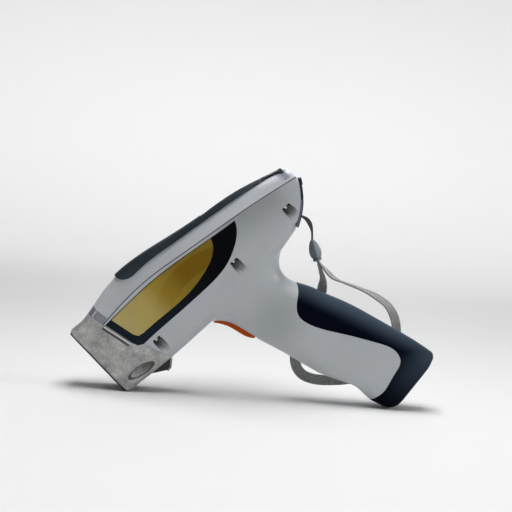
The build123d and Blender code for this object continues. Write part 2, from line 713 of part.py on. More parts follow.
def nose_casting():
    """The cast metal nose with its chamber, window, screw holes and side recesses."""
    form = whole_body()
    front = side_block([*nose_seam(), (-50.0, -60.0), (-50.0, 70.0)])
    block = form & front
    chamber = body_form(NOSE_WALL) & slab(PLATE_THICKNESS + NOSE_FRONT_WALL, 90, REACH, -90, 90)
    beam = slab(-5, 30, WINDOW_LENGTH / 2, WINDOW_Z - WINDOW_HEIGHT / 2, WINDOW_Z + WINDOW_HEIGHT / 2)
    block = block - chamber - beam
    slot = [(25.6, 20.9), (29.9, 21.4), (37.0, -7.3), (32.4, -8.1)]
    for side in (-1, 1):
        outline = make_face(Polyline(*[(x, 0, z) for x, z in slot], close=True))
        recess = extrude(outline, REACH, dir=(0, side, 0))
        block = block - (recess - body_form(CLIP_DEPTH))
        block = block - oval_cutter(side)
    for y, z, length in nose_screw_places():
        block = block - rod(-5, y, z, NOSE_SCREW_HEAD + 0.2, 5 + NOSE_SCREW_SEAT, (1, 0, 0))
        block = block - rod(-5, y, z, NOSE_SCREW_RADIUS + 0.15, 90, (1, 0, 0))
    for y, z in plate_screw_places():
        block = block - countersunk(y, z)
    return block


def oval_cutter(side):
    """A long oval recess low on the nose's side, for a test stand's claw."""
    floor = Plane(
        (OVAL_PLACE[0], side * (NOSE_WIDTH / 2 - OVAL_DEPTH), OVAL_PLACE[1]),
        x_dir=(cos(radians(OVAL_TILT)), 0, -sin(radians(OVAL_TILT))), z_dir=(0, side, 0))
    return extrude(floor * Ellipse(OVAL_LENGTH / 2, OVAL_HEIGHT / 2), OVAL_DEPTH + 6)


def nose_screw_places():
    """Across, height and length of the four long screws."""
    high, low = NOSE_TOP - NOSE_SCREW_EDGE, NOSE_BOTTOM + NOSE_SCREW_EDGE
    out = NOSE_WIDTH / 2 - NOSE_SCREW_SIDE
    return [(side * out, z, length) for z, length in ((high, 40.0), (low, 54.0)) for side in (-1, 1)]


def nose_screws():
    """Socket screws through the nose into the housings behind it."""
    screws = []
    for y, z, length in nose_screw_places():
        head = rod(NOSE_SCREW_SEAT - 3.0, y, z, NOSE_SCREW_HEAD, 3.0, (1, 0, 0))
        shank = rod(NOSE_SCREW_SEAT, y, z, NOSE_SCREW_RADIUS, length, (1, 0, 0))
        socket = rod(NOSE_SCREW_SEAT - 3.5, y, z, 1.4, 2.0, (1, 0, 0))
        screws.append(head + shank - socket)
    return Compound(screws)


def clip_bars():
    """The light bars that lie in the nose's side slots."""
    line = [(26.9, 20.6), (26.9 + CLIP_BAR, 20.9), (33.9 + CLIP_BAR, -7.2), (33.9, -7.8)]
    bars = side_block(line) & body_form(0.3)
    return bars - body_form(CLIP_DEPTH)


def plate_outline(margin):
    half, top, low = NOSE_WIDTH / 2 - margin, NOSE_TOP - margin, NOSE_BOTTOM + margin
    return half, low, top


def face_plate():
    """The thin black plate that rests on the sample."""
    half, low, top = plate_outline(PLATE_MARGIN)
    plate = slab(0, PLATE_THICKNESS, half, low, top)
    plate = plate.fillet(5.0, plate.edges().filter_by(Axis.X))
    ring = WINDOW_RING
    room = slab(-1, PLATE_THICKNESS + 1, WINDOW_LENGTH / 2 + ring, WINDOW_Z - WINDOW_HEIGHT / 2 - ring,
                WINDOW_Z + WINDOW_HEIGHT / 2 + ring)
    plate = plate - room
    for y, z in plate_screw_places():
        plate = plate - countersunk(y, z)
    return plate


def plate_screw_places():
    half, low, top = plate_outline(PLATE_MARGIN + PLATE_SCREW_EDGE)
    heights = (WINDOW_Z - PLATE_SCREW_SPREAD, WINDOW_Z + PLATE_SCREW_SPREAD)
    return [(side * half, z) for z in heights for side in (-1, 1)]


def countersunk(y, z, length=4.6):
    """A small countersunk screw, its head just under the plate's face."""
    cone = Solid.make_cone(PLATE_SCREW_RADIUS, 1.0, 1.2, Plane((0.1, y, z), z_dir=(1, 0, 0)))
    shank = rod(1.2, y, z, 1.0, length - 1.2, (1, 0, 0))
    return cone + shank


def plate_screws():
    screws = []
    for y, z in plate_screw_places():
        slot = slab(0, 0.6, 1.4, z - 0.3, z + 0.3, y)
        screws.append(countersunk(y, z) - slot)
    return Compound(screws)


def window_ring():
    """The clamp ring round the measurement window."""
    ring = WINDOW_RING
    y, z = WINDOW_LENGTH / 2, WINDOW_HEIGHT / 2
    back = PLATE_THICKNESS - FILM_THICKNESS
    outer = slab(back - RING_THICKNESS, back, y + ring, WINDOW_Z - z - ring, WINDOW_Z + z + ring)
    hole = slab(-1, 3, y, WINDOW_Z - z, WINDOW_Z + z)
    hole = hole.fillet(2.0, hole.edges().filter_by(Axis.X))
    return outer - hole


def window_film():
    ring = WINDOW_RING - 0.5
    y, z = WINDOW_LENGTH / 2 + ring, WINDOW_HEIGHT / 2 + ring
    return slab(PLATE_THICKNESS - FILM_THICKNESS, PLATE_THICKNESS, y, WINDOW_Z - z, WINDOW_Z + z)


def proximity_sensor():
    """The dark infrared window under the nose, and its light rim."""
    half = SENSOR_WIDTH / 2
    rim = SENSOR_RIM
    window = side_block(
        [(29.2, -38.0), (29.2, -42.2), (41.6, -49.6), (45.4, -49.0), (51.0, -44.2), (51.0, -38.0)], half)
    edge = [(41.6, -49.6), (45.4, -49.0), (51.0, -44.2), (51.0, -38.0)]
    outer = [(51.0 + rim, -38.0), (51.0 + rim, -45.0), (46.2, -50.6), (41.4, -51.1)]
    shell = side_block([*edge, *outer], half + 0.6)
    clear = body_form(0.0)
    return window - clear, shell - clear


def trigger():
    """The trigger lever, on a pin near its upper end."""
    x, z = TRIGGER_PIN
    front = [(103.6, -47.3), (107.4, -52.2), (111.4, -59.6), (114.6, -70.0), (117.6, -79.0), (121.6, -84.4)]
    back = [(126.0, -84.0), (124.6, -70.0), (123.4, -58.0), (122.6, -51.0), (119.4, -49.2), (110.0, -48.0)]
    outer = Spline(*[(px, 0, pz) for px, pz in front])
    rest = Polyline(*[(px, 0, pz) for px, pz in (front[-1], *back, front[0])])
    lever = extrude(make_face([outer.edge(), *rest.edges()]), TRIGGER_WIDTH / 2, dir=(0, 1, 0), both=True)
    long_edges = [
        e for e in lever.edges()
        if e.length > 38 and abs(abs((e @ 0.5).Y) - TRIGGER_WIDTH / 2) < 0.01 and (e @ 0.5).X < 118]
    lever = lever.fillet(2.4, long_edges)
    return lever - rod(x, -40, z, TRIGGER_PIN_RADIUS + BORE_GAP, 80, (0, 1, 0))


def trigger_slot():
    """Room for the lever, and a pocket beside it for its spring."""
    x, z = TRIGGER_PIN
    half = TRIGGER_WIDTH / 2 + RUN
    pocket = rod(x, half - 1, z, SPRING_RADIUS + SPRING_WIRE + 0.5, SPRING_LENGTH + 3, (0, 1, 0))
    return slab(90, 131.5, half, -86.6, -46.5) + pocket


def trigger_pin():
    x, z = TRIGGER_PIN
    half = TRIGGER_WIDTH / 2 + TRIGGER_PIN_BITE
    return rod(x, -half, z, TRIGGER_PIN_RADIUS, 2 * half, (0, 1, 0))


def trigger_spring():
    """A torsion spring on the pin beside the lever."""
    x, z = TRIGGER_PIN
    path = Helix(SPRING_PITCH, SPRING_LENGTH, SPRING_RADIUS, direction=(0, 1, 0))
    start = path @ 0
    wire = Plane(start, z_dir=path % 0) * Circle(SPRING_WIRE)
    coil = sweep(wire, path, is_frenet=True)
    return coil.moved(Pos(x, TRIGGER_WIDTH / 2 + 1.4, z))


def trigger_switch():
    """The switch behind the trigger and its bracket."""
    front = TRIGGER_PIN[0] + SWITCH_SETBACK
    body = slab(front, front + 11.0, 5.0, -78.0, -66.0)
    plunger = rod(front, 0, -72.0, 1.4, 2.4, (-1, 0, 0))
    bracket = slab(front + 11.0, front + 13.0, 14.0, -80.0, HV_BOTTOM)
    return body + plunger + bracket


def display():
    """The frame, on a hinge pin at its rear edge, and the liquid crystal panel bonded to its glass."""
    half = DISPLAY_THICKNESS / 2
    side = DISPLAY_WIDTH / 2
    border = DISPLAY_BORDER
    frame = slab(-DISPLAY_LENGTH, 0, side, -half, half)
    frame = frame.fillet(DISPLAY_CORNER, [e for e in frame.edges().filter_by(Axis.Z) if (e @ 0.5).X < -10])
    frame = frame + rod(0, -side, 0, half, 2 * side, (0, 1, 0))
    front, back = -DISPLAY_LENGTH + border, -border
    recess = slab(front, back, side - border, half - GLASS_THICKNESS - PANEL_THICKNESS, half + 1)
    notch = rod(-DISPLAY_LENGTH - 3.0, -9, half - 1.0, 4.0, 18, (0, 1, 0))
    frame = frame - recess - notch - rod(0, -80, 0, HINGE_PIN_RADIUS + BORE_GAP, 160, (0, 1, 0))
    glass = slab(front, back, side - border, half - GLASS_THICKNESS, half - 0.1)
    panel = slab(front + 2, back - 2, side - border - 2, half - GLASS_THICKNESS - PANEL_THICKNESS,
                 half - GLASS_THICKNESS)
    place = display_place()
    return place * frame, place * (glass + panel)


def display_pin():
    half = DISPLAY_WIDTH / 2 + RUN + HINGE_PIN_BITE
    return display_place() * rod(0, -half, 0, HINGE_PIN_RADIUS, 2 * half, (0, 1, 0))


def key_well():
    """The opening under the key panel."""
    return top_place(KEY_PANEL_X) * slab(
        -KEY_PANEL_LENGTH / 2 + KEY_LEDGE, KEY_PANEL_LENGTH / 2 - KEY_LEDGE,
        KEY_PANEL_WIDTH / 2 - KEY_LEDGE, -12, 0)


def key_frame():
    """The rib under the cover that carries the key board."""
    return top_place(KEY_PANEL_X) * slab(
        -KEY_PANEL_LENGTH / 2, KEY_PANEL_LENGTH / 2, KEY_PANEL_WIDTH / 2, -KEY_BOARD_Z - 3, -1)


def key_panel():
    half_x, half_y = KEY_PANEL_LENGTH / 2, KEY_PANEL_WIDTH / 2
    plate = rounded_slab(-half_x, half_x, half_y, -KEY_PANEL_THICKNESS, 0.3, 2.5)
    for spot in key_table().values():
        plate = plate - key_hole(spot)
    return top_place(KEY_PANEL_X) * plate


def key_board():
    """The board with a contact dome under each key."""
    half_x, half_y = KEY_PANEL_LENGTH / 2 - KEY_LEDGE, KEY_PANEL_WIDTH / 2 - KEY_LEDGE
    low = -KEY_BOARD_Z - KEY_BOARD_THICKNESS
    return top_place(KEY_PANEL_X) * slab(-half_x, half_x, half_y, low, -KEY_BOARD_Z)


def rear_plane(angle, radius, y):
    """A place on the rear bow: its z points out of the housing, its y goes across."""
    x, z = on_rear_bow(radius, angle)
    turn = radians(angle)
    return Plane((x, y, z), x_dir=(-sin(turn), 0, cos(turn)), z_dir=(cos(turn), 0, sin(turn)))


def port_opening():
    return rear_sector(REAR_BOW_RADIUS - 12, REAR_BOW_RADIUS + 5, *PORT_PANEL_ANGLES, PORT_PANEL_WIDTH / 2)


def port_panel():
    """The plate behind the port cover, with both sockets let into it."""
    outer = REAR_BOW_RADIUS - 0.5
    plate = rear_sector(outer - PORT_PANEL_THICKNESS, outer, *PORT_PANEL_ANGLES, PORT_PANEL_WIDTH / 2)
    return plate - port_block(0.0) - jack_block()


def port_block(lip):
    place = rear_plane(PORT_ANGLE, REAR_BOW_RADIUS, -PORT_OFFSET)
    grow = 2 * PORT_SHELL
    block = Box(PORT_HEIGHT + grow, PORT_WIDTH + grow, PORT_DEPTH + lip)
    return place * (Pos(Z=-PORT_DEPTH / 2 - 0.2) * block)


def data_port():
    place = rear_plane(PORT_ANGLE, REAR_BOW_RADIUS, -PORT_OFFSET)
    room = place * (Pos(Z=PORT_SHELL + 5) * Box(PORT_HEIGHT, PORT_WIDTH, 2 * PORT_DEPTH + 9.6))
    return port_block(0.0) - room


def jack_block():
    place = rear_plane(PORT_ANGLE, REAR_BOW_RADIUS - 0.2 - PORT_DEPTH, PORT_OFFSET)
    return Solid.make_cylinder(JACK_RADIUS, PORT_DEPTH, place)


def power_jack():
    place = rear_plane(PORT_ANGLE, REAR_BOW_RADIUS - PORT_DEPTH + 1.0, PORT_OFFSET)
    bore = Solid.make_cylinder(JACK_BORE, PORT_DEPTH + 3, place)
    pin = Solid.make_cylinder(JACK_PIN, PORT_DEPTH - 3.0, place)
    return (jack_block() - bore) + pin


def flap_pin_place():
    return on_rear_bow(REAR_BOW_RADIUS + FLAP_GAP + FLAP_THICKNESS / 2, REAR_NOTCH_ANGLE + 0.9)


def rear_trim():
    """The strip low on the rear face, with ears for the flap's pin and the lanyard's slot."""
    outer = REAR_BOW_RADIUS + TRIM_THICKNESS
    half = TRIM_WIDTH / 2
    strip = rear_sector(REAR_BOW_RADIUS, outer, REAR_LOW_ANGLE, REAR_NOTCH_ANGLE - 0.7, half)
    low, high = REAR_NOTCH_ANGLE - 1.0, REAR_NOTCH_ANGLE + 1.8
    ears = [rear_sector(REAR_BOW_RADIUS, outer, low, high, 0.8, side * (half - 0.8)) for side in (-1, 1)]
    strip = strip + ears
    slot = rear_sector(REAR_BOW_RADIUS - 4, outer + 2, ANCHOR_ANGLE - 3, ANCHOR_ANGLE + 3, ANCHOR_SLOT / 2)
    x, z = flap_pin_place()
    pin = rod(x, -half, z, FLAP_PIN_RADIUS, 2 * half, (0, 1, 0))
    return strip - slot - pin - anchor_pin()


def anchor_pin():
    """The steel pin that the lanyard is looped round."""
    x, z = on_rear_bow(REAR_BOW_RADIUS - ANCHOR_SINK, ANCHOR_ANGLE)
    return rod(x, -ANCHOR_SLOT / 2 - 2.5, z, ANCHOR_PIN_RADIUS, ANCHOR_SLOT + 5, (0, 1, 0))


def anchor_pocket():
    """The hollow in the housing behind the lanyard's slot."""
    return rear_sector(
        REAR_BOW_RADIUS - 1.8, REAR_BOW_RADIUS + 2, ANCHOR_ANGLE - 3, ANCHOR_ANGLE + 3, ANCHOR_SLOT / 2)


def port_cover():
    """The rubber flap over the sockets, with a finger tab at its top."""
    inner = REAR_BOW_RADIUS + FLAP_GAP
    outer = inner + FLAP_THICKNESS
    half = TRIM_WIDTH / 2 - 1.6 - RUN
    x, z = flap_pin_place()
    flap = rear_sector(inner, outer, REAR_NOTCH_ANGLE + 0.9, REAR_HIGH_ANGLE, half)
    tab_start = REAR_HIGH_ANGLE - degrees(TAB_HEIGHT / REAR_BOW_RADIUS)
    tab = rear_sector(outer - 1, outer + TAB_PROUD, tab_start, REAR_HIGH_ANGLE, TAB_WIDTH / 2)
    flap = flap + [rod(x, -half, z, FLAP_THICKNESS / 2, 2 * half, (0, 1, 0)), tab]
    return flap - rod(x, -80, z, FLAP_PIN_RADIUS + BORE_GAP, 160, (0, 1, 0))


def port_cover_pin():
    x, z = flap_pin_place()
    half = TRIM_WIDTH / 2
    return rod(x, -half, z, FLAP_PIN_RADIUS, 2 * half, (0, 1, 0))


def latch_place():
    """A place on the underside of the battery's cap: its z points out."""
    outline = butt_outline(BATTERY_RECESS)
    (x0, z0), (x1, z1) = outline[2], outline[3]
    rise = (z1 - z0) / (x1 - x0)
    slope = tan(radians(HANDLE_RAKE))
    x = (HANDLE_MID[0] + (HANDLE_MID[1] - z0 + rise * x0) * slope) / (1 + rise * slope)
    tip = radians(BUTT_RISE)
    return Plane((x, 0, z0 + rise * (x - x0)), x_dir=(cos(tip), 0, sin(tip)), z_dir=(sin(tip), 0, -cos(tip)))


def battery():
    """The pack, its end cap and the latch button in the cap."""
    whole = battery_prism(0.0, BATTERY_TOP_Z, 160.0) & rounded_side_block(
        butt_outline(BATTERY_RECESS), [1, 20, BUTT_RADIUS, BUTT_RADIUS - 1, 20, 1])
    whole_length = (BATTERY_TOP_Z - BUTT_Z) / cos(radians(HANDLE_RAKE))
    inner = battery_prism(2.0, BATTERY_TOP_Z, whole_length - BATTERY_CAP - 6.0)
    deep = LATCH_THICKNESS + LATCH_TRAVEL + LATCH_GAP
    wide = 2 * LATCH_GAP
    room = latch_place() * (Pos(Z=10 - deep) * Box(LATCH_DEPTH + wide, LATCH_WIDTH + wide, 20))
    button = latch_place() * (Pos(Z=-LATCH_THICKNESS / 2) * Box(LATCH_DEPTH, LATCH_WIDTH, LATCH_THICKNESS))
    return whole & inner, whole - inner - room, button


def battery_contacts():
    """The contact block above the battery, with its spring blades."""
    top = BATTERY_TOP_Z + 7.0
    block = battery_prism(6.0, top, 4.0) & handle_form(WALL + BOOT_THICKNESS)
    blades = []
    slope = tan(radians(HANDLE_RAKE))
    for i in range(CONTACT_BLADES):
        y = (i - (CONTACT_BLADES - 1) / 2) * 6.0
        z = BATTERY_TOP_Z + 1.6
        x = HANDLE_MID[0] + (HANDLE_MID[1] - z) * slope
        blades.append(slab(x - 3, x + 3, 0.6, z, z + 4.0, y))
    return block + blades


def xray_tube():
    snout = rod(WHEEL_X + 4, TUBE_Y, TUBE_Z, TUBE_SNOUT_RADIUS, 24, (1, 0, 0))
    return snout + rod(42, TUBE_Y, TUBE_Z, TUBE_RADIUS, 60, (1, 0, 0))


def detector():
    can = rod(24, 0, DETECTOR_Z, DETECTOR_RADIUS, 36, (1, 0, 0))
    return can + slab(58, 84, 11, DETECTOR_Z - 8, DETECTOR_Z + 8)


def filter_wheel():
    wheel = rod(WHEEL_X, WHEEL_Y, TUBE_Z, WHEEL_RADIUS, WHEEL_THICKNESS, (1, 0, 0))
    pitch = WHEEL_Y - TUBE_Y
    for i in range(FILTER_HOLES):
        turn = radians(180 + i * 360 / FILTER_HOLES)
        wheel = wheel - rod(
            WHEEL_X - 1, WHEEL_Y + pitch * cos(turn), TUBE_Z + pitch * sin(turn), FILTER_RADIUS, 6, (1, 0, 0))
    return wheel - rod(WHEEL_X - 2, WHEEL_Y, TUBE_Z, MOTOR_SHAFT_RADIUS + BORE_GAP, 8, (1, 0, 0))


def filter_motor():
    start = WHEEL_X + WHEEL_THICKNESS + 0.8
    motor = rod(start, WHEEL_Y, TUBE_Z, MOTOR_RADIUS, BRACKET_X - start, (1, 0, 0))
    return motor + rod(WHEEL_X - 1.5, WHEEL_Y, TUBE_Z, MOTOR_SHAFT_RADIUS, start - WHEEL_X + 2, (1, 0, 0))


def head_bracket():
    """The plate in the nose that carries the tube, the detector and the filter motor."""
    back = BRACKET_X + BRACKET_THICKNESS
    plate = slab(BRACKET_X, back, REACH, -60, 2) & body_form(NOSE_WALL)
    plate = plate + slab(BRACKET_X, back, DETECTOR_RADIUS + 3, 0, DETECTOR_Z + DETECTOR_RADIUS + 3)
    plate = plate - xray_tube() - detector()
    for y, z, length in nose_screw_places():
        plate = plate - rod(BRACKET_X - 1, y, z, NOSE_SCREW_RADIUS + 0.15, 6, (1, 0, 0))
    return plate


def chassis():
    """The metal plate that the boards and modules are fixed to."""
    low, high = CHASSIS_Z - CHASSIS_THICKNESS, CHASSIS_Z
    plate = slab(60, 206, 16, low, high)
    bars = [slab(x, x + 9, REACH, low, high) & body_form(WALL) for x in (64, 186)]
    posts = [rod(x, y, high, 1.8, top - high, (0, 0, 1))
             for x, top in ((70, MAIN_BOARD_Z), (144, MAIN_BOARD_Z), (164, REAR_BOARD_Z), (200, REAR_BOARD_Z))
             for y in (-12, 12)]
    return plate + [*bars, *posts]


def main_board():
    """The measuring board, with its chips."""
    board = slab(64, 152, 24, MAIN_BOARD_Z, MAIN_BOARD_Z + BOARD_THICKNESS)
    top = MAIN_BOARD_Z + BOARD_THICKNESS
    chips = [slab(x, x + length, length / 2, top, top + 2, y)
             for x, y, length in ((122, 0, 18), (98, -13, 9), (98, 10, 12))]
    return board + chips


def processor_board():
    board = slab(158, 214, 20, REAR_BOARD_Z, REAR_BOARD_Z + BOARD_THICKNESS)
    chips = [slab(x, x + 12, 6, REAR_BOARD_Z + BOARD_THICKNESS, REAR_BOARD_Z + BOARD_THICKNESS + 1.6, y)
             for x, y in ((170, -8), (192, 10))]
    return board + chips


def heat_sink():
    base = MAIN_BOARD_Z + BOARD_THICKNESS + 2
    block = slab(118, 144, 12, base, base + 2)
    pitch = 24.0 / (FIN_COUNT - 1)
    fins = [slab(118, 144, 0.6, base + 2, base + 11, -11.4 + i * (pitch - 0.2)) for i in range(FIN_COUNT)]
    return block + fins


def high_voltage_module():
    block = slab(108, 170, 15, HV_BOTTOM, CHASSIS_Z - CHASSIS_THICKNESS)
    return block.fillet(2.0, block.edges().filter_by(Axis.X))


# The cord leaves the slot in the rear trim, hangs to the bead, and the webbing makes a loop
# from the bead's lower end round behind the handle and back. Points are x, y, z.
CORD_POINTS = [
    (231.8, 0.0, -28.9), (234.3, 0.2, -33.7), (234.8, 0.9, -39.2), (233.0, 2.3, -44.8),
    (229.6, 4.3, -50.3), (224.7, 7.2, -55.3),
]
BEAD_END = (214.9, 9.4, -73.7)
STRAP_POINTS = [
    (214.6, 8.3, -74.2), (211.2, 12.4, -81.4), (205.6, 18.8, -91.0), (195.0, 25.6, -101.0),
    (179.0, 29.4, -109.0),
    (160.0, 30.6, -115.2), (143.0, 29.0, -120.4), (131.0, 27.2, -130.4), (127.0, 26.6, -143.6),
    (133.6, 27.4, -156.8), (145.2, 28.2, -168.6), (158.8, 29.0, -180.0), (176.4, 29.8, -187.8),
    (196.0, 30.4, -190.0), (215.2, 30.2, -184.2), (229.0, 29.2, -171.2), (235.2, 28.0, -154.0),
    (231.8, 26.4, -136.8), (224.4, 23.4, -118.4), (217.0, 18.6, -103.4), (213.4, 13.6, -90.0),
    (214.8, 10.7, -74.9),
]


def cord_path(points, name):
    """Straight runs joined by arcs as large as the runs allow."""
    spots = [Vector(*p) for p in points]
    runs = [after - before for before, after in zip(spots, spots[1:])]
    radii = []
    for before, after in zip(runs, runs[1:]):
        half_turn = radians(before.get_angle(after) / 2)
        radii.append(0.45 * min(before.length, after.length) / tan(half_turn))
    path = FilletPolyline(*spots, radius=radii)
    print(name, "length", round(path.length, 1), "radii", [round(r, 1) for r in radii])
    return path


def lanyard_cord():
    path = cord_path(CORD_POINTS, "lanyard cord")
    section = Plane(path @ 0, z_dir=path % 0) * Circle(CORD_RADIUS)
    return sweep(section, path)


def wrist_strap():
    """Flat webbing: its width lies in the plane of the loop."""
    path = cord_path(STRAP_POINTS, "wrist strap")
    section = Plane(path @ 0, x_dir=(0, 1, 0), z_dir=path % 0) * Rectangle(STRAP_THICKNESS, STRAP_WIDTH)
    return sweep(section, path)


def strap_bead():
    """The slider that the cord and both ends of the webbing go into."""
    top, end = Vector(*CORD_POINTS[-1]), Vector(*BEAD_END)
    place = Plane(tuple(top), x_dir=(0, 1, 0), z_dir=tuple((end - top).normalized()))
    block = Pos(Z=(end - top).length / 2) * Box(BEAD_DEPTH, BEAD_WIDTH, (end - top).length)
    block = block.fillet(3.0, block.edges().filter_by(Axis.Z))
    way_out = tuple((Vector(*CORD_POINTS[-2]) - top).normalized())
    return place * block - rod(*CORD_POINTS[-1], CORD_RADIUS + CORD_PLAY, 4.0, way_out)


def all_pieces():
    """Every node of the object, in the instrument's own frame."""
    pieces = housings()
    frame, screen = display()
    pack, cap, button = battery()
    window, rim = proximity_sensor()
    pieces.update({
        "nose_casting": nose_casting(), "nose_screws": nose_screws(), "clip_bars": clip_bars(),
        "face_plate": face_plate(), "face_plate_screws": plate_screws(), "window_ring": window_ring(),
        "window_film": window_film(), "proximity_window": window, "proximity_rim": rim,
        "trigger": trigger(), "trigger_pin": trigger_pin(), "trigger_spring": trigger_spring(),
        "trigger_switch": trigger_switch(), "display_frame": frame, "display_screen": screen,
        "display_hinge_pin": display_pin(), "key_panel": key_panel(), "key_board": key_board(),
        "port_panel": port_panel(), "data_port": data_port(), "power_jack": power_jack(),
        "rear_trim": rear_trim(), "anchor_pin": anchor_pin(), "port_cover": port_cover(),
        "port_cover_pin": port_cover_pin(), "battery_pack": pack, "battery_cap": cap,
        "battery_latch": button, "battery_contacts": battery_contacts(), "xray_tube": xray_tube(),
        "detector": detector(), "filter_wheel": filter_wheel(), "filter_motor": filter_motor(),
        "head_bracket": head_bracket(), "chassis": chassis(), "main_board": main_board(),
        "processor_board": processor_board(), "heat_sink": heat_sink(),
        "high_voltage_module": high_voltage_module(), "housing_screws": housing_screws(),
    })
    for name, spot in key_table().items():
        pieces[name] = key(spot)
    return pieces


def build():
    pieces = all_pieces()
    tip = Rot(Y=-rest_pitch())
    box = Compound([piece.moved(tip) for shape in pieces.values() for piece in shape.solids()]).bounding_box()
    stand = Pos(-(box.min.X + box.max.X) / 2, -(box.min.Y + box.max.Y) / 2, -box.min.Z) * tip
    pieces.update({"lanyard_cord": lanyard_cord(), "strap_bead": strap_bead(), "wrist_strap": wrist_strap()})
    print("pitch", round(rest_pitch(), 3), "origin", [round(v, 3) for v in (stand * Pos(0, 0, 0)).position])
    print("size", [round(v, 2) for v in box.size])
    for name, shape in pieces.items():
        solids = [piece.moved(stand) for piece in shape.solids()]
        whole = solids[0] if len(solids) == 1 else Compound(solids)
        state = "valid" if whole.is_valid else "NOT VALID"
        print(name, len(solids), "solids", round(whole.volume), "mm3", state)
        export_step(whole, "parts/" + name + ".step")


build()
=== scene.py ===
from math import cos, pi, radians, sin, tau

import bmesh
import bpy
from mathutils import Matrix, Vector


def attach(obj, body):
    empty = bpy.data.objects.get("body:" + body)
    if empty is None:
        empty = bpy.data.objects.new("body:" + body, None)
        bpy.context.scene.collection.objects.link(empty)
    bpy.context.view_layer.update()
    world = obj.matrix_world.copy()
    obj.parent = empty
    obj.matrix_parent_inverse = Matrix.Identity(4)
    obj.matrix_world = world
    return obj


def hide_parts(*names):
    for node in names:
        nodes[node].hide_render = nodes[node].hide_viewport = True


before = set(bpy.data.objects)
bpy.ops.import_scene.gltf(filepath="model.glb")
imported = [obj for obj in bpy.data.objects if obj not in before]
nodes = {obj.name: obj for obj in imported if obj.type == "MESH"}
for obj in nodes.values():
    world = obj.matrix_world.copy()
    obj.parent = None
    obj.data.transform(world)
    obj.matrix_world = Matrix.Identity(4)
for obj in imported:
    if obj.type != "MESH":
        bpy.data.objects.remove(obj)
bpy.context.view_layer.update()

# The camera
# The photograph shows the instrument side on, through a long lens and slightly from above.
# The camera is rolled a few degrees, so the line from its nose to its heel falls to the right.
PHOTO_CENTRE = Vector((-0.0027, 0.0, 0.1344))
PHOTO_WIDTH = 0.4844
SENSOR_WIDTH = 36.0
DISTANCE = 1.5
ELEVATION = radians(3.5)
ROLL = radians(4.16)


def make_camera():
    data = bpy.data.cameras.new("camera")
    data.sensor_width = SENSOR_WIDTH
    data.lens = SENSOR_WIDTH * DISTANCE / PHOTO_WIDTH
    turn = Matrix.Rotation(radians(90) - ELEVATION, 3, "X") @ Matrix.Rotation(ROLL, 3, "Z")
    camera = bpy.data.objects.new("camera", data)
    camera.matrix_world = Matrix.Translation(PHOTO_CENTRE + turn.col[2] * DISTANCE) @ turn.to_4x4()
    bpy.context.scene.collection.objects.link(camera)
    bpy.context.scene.camera = camera


make_camera()

# The strap's cord
# A thin braided polyester cord is looped round the steel pin in the rear trim. Its two
# strands run side by side into the strap's slider.
CORD_ROUTE = [
    (231.8, 0.0, -28.9), (234.3, 0.2, -33.7), (234.8, 0.9, -39.2), (233.0, 2.3, -44.8),
    (229.6, 4.3, -50.3), (224.7, 7.2, -55.3),
]
CORD_DIAMETER = 0.0026
CORD_SIDES = 28
STRANDS_ROUND = 5
STRANDS_ALONG = 3400

# Routes are given as the instrument is drawn, with x back from its nose and z square to the
# barrel, in millimetres. It rests pitched on to its nose and heel.
PITCH = radians(47.556)
PLACE = Vector((-0.143111, 0.0, 0.02443))


def turned(x, y, z):
    """A direction of the instrument's own frame, in the scene's."""
    return Vector((x * cos(PITCH) - z * sin(PITCH), y, x * sin(PITCH) + z * cos(PITCH)))


def at(x, y, z):
    """A point of the instrument's own frame, in the scene's and in metres."""
    return PLACE + turned(x, y, z) / 1000


def link(name, mesh):
    """A finished mesh as a smooth piece that rides on the instrument."""
    piece = bpy.data.objects.new(name, mesh)
    bpy.context.scene.collection.objects.link(piece)
    for face in mesh.polygons:
        face.use_smooth = True
    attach(piece, "instrument")
    return piece


def finished(bm, name):
    """The mesh of a bmesh whose faces are made to point outwards."""
    bmesh.ops.remove_doubles(bm, verts=bm.verts, dist=1e-7)
    bmesh.ops.recalc_face_normals(bm, faces=bm.faces)
    mesh = bpy.data.meshes.new(name)
    bm.to_mesh(mesh)
    bm.free()
    return mesh


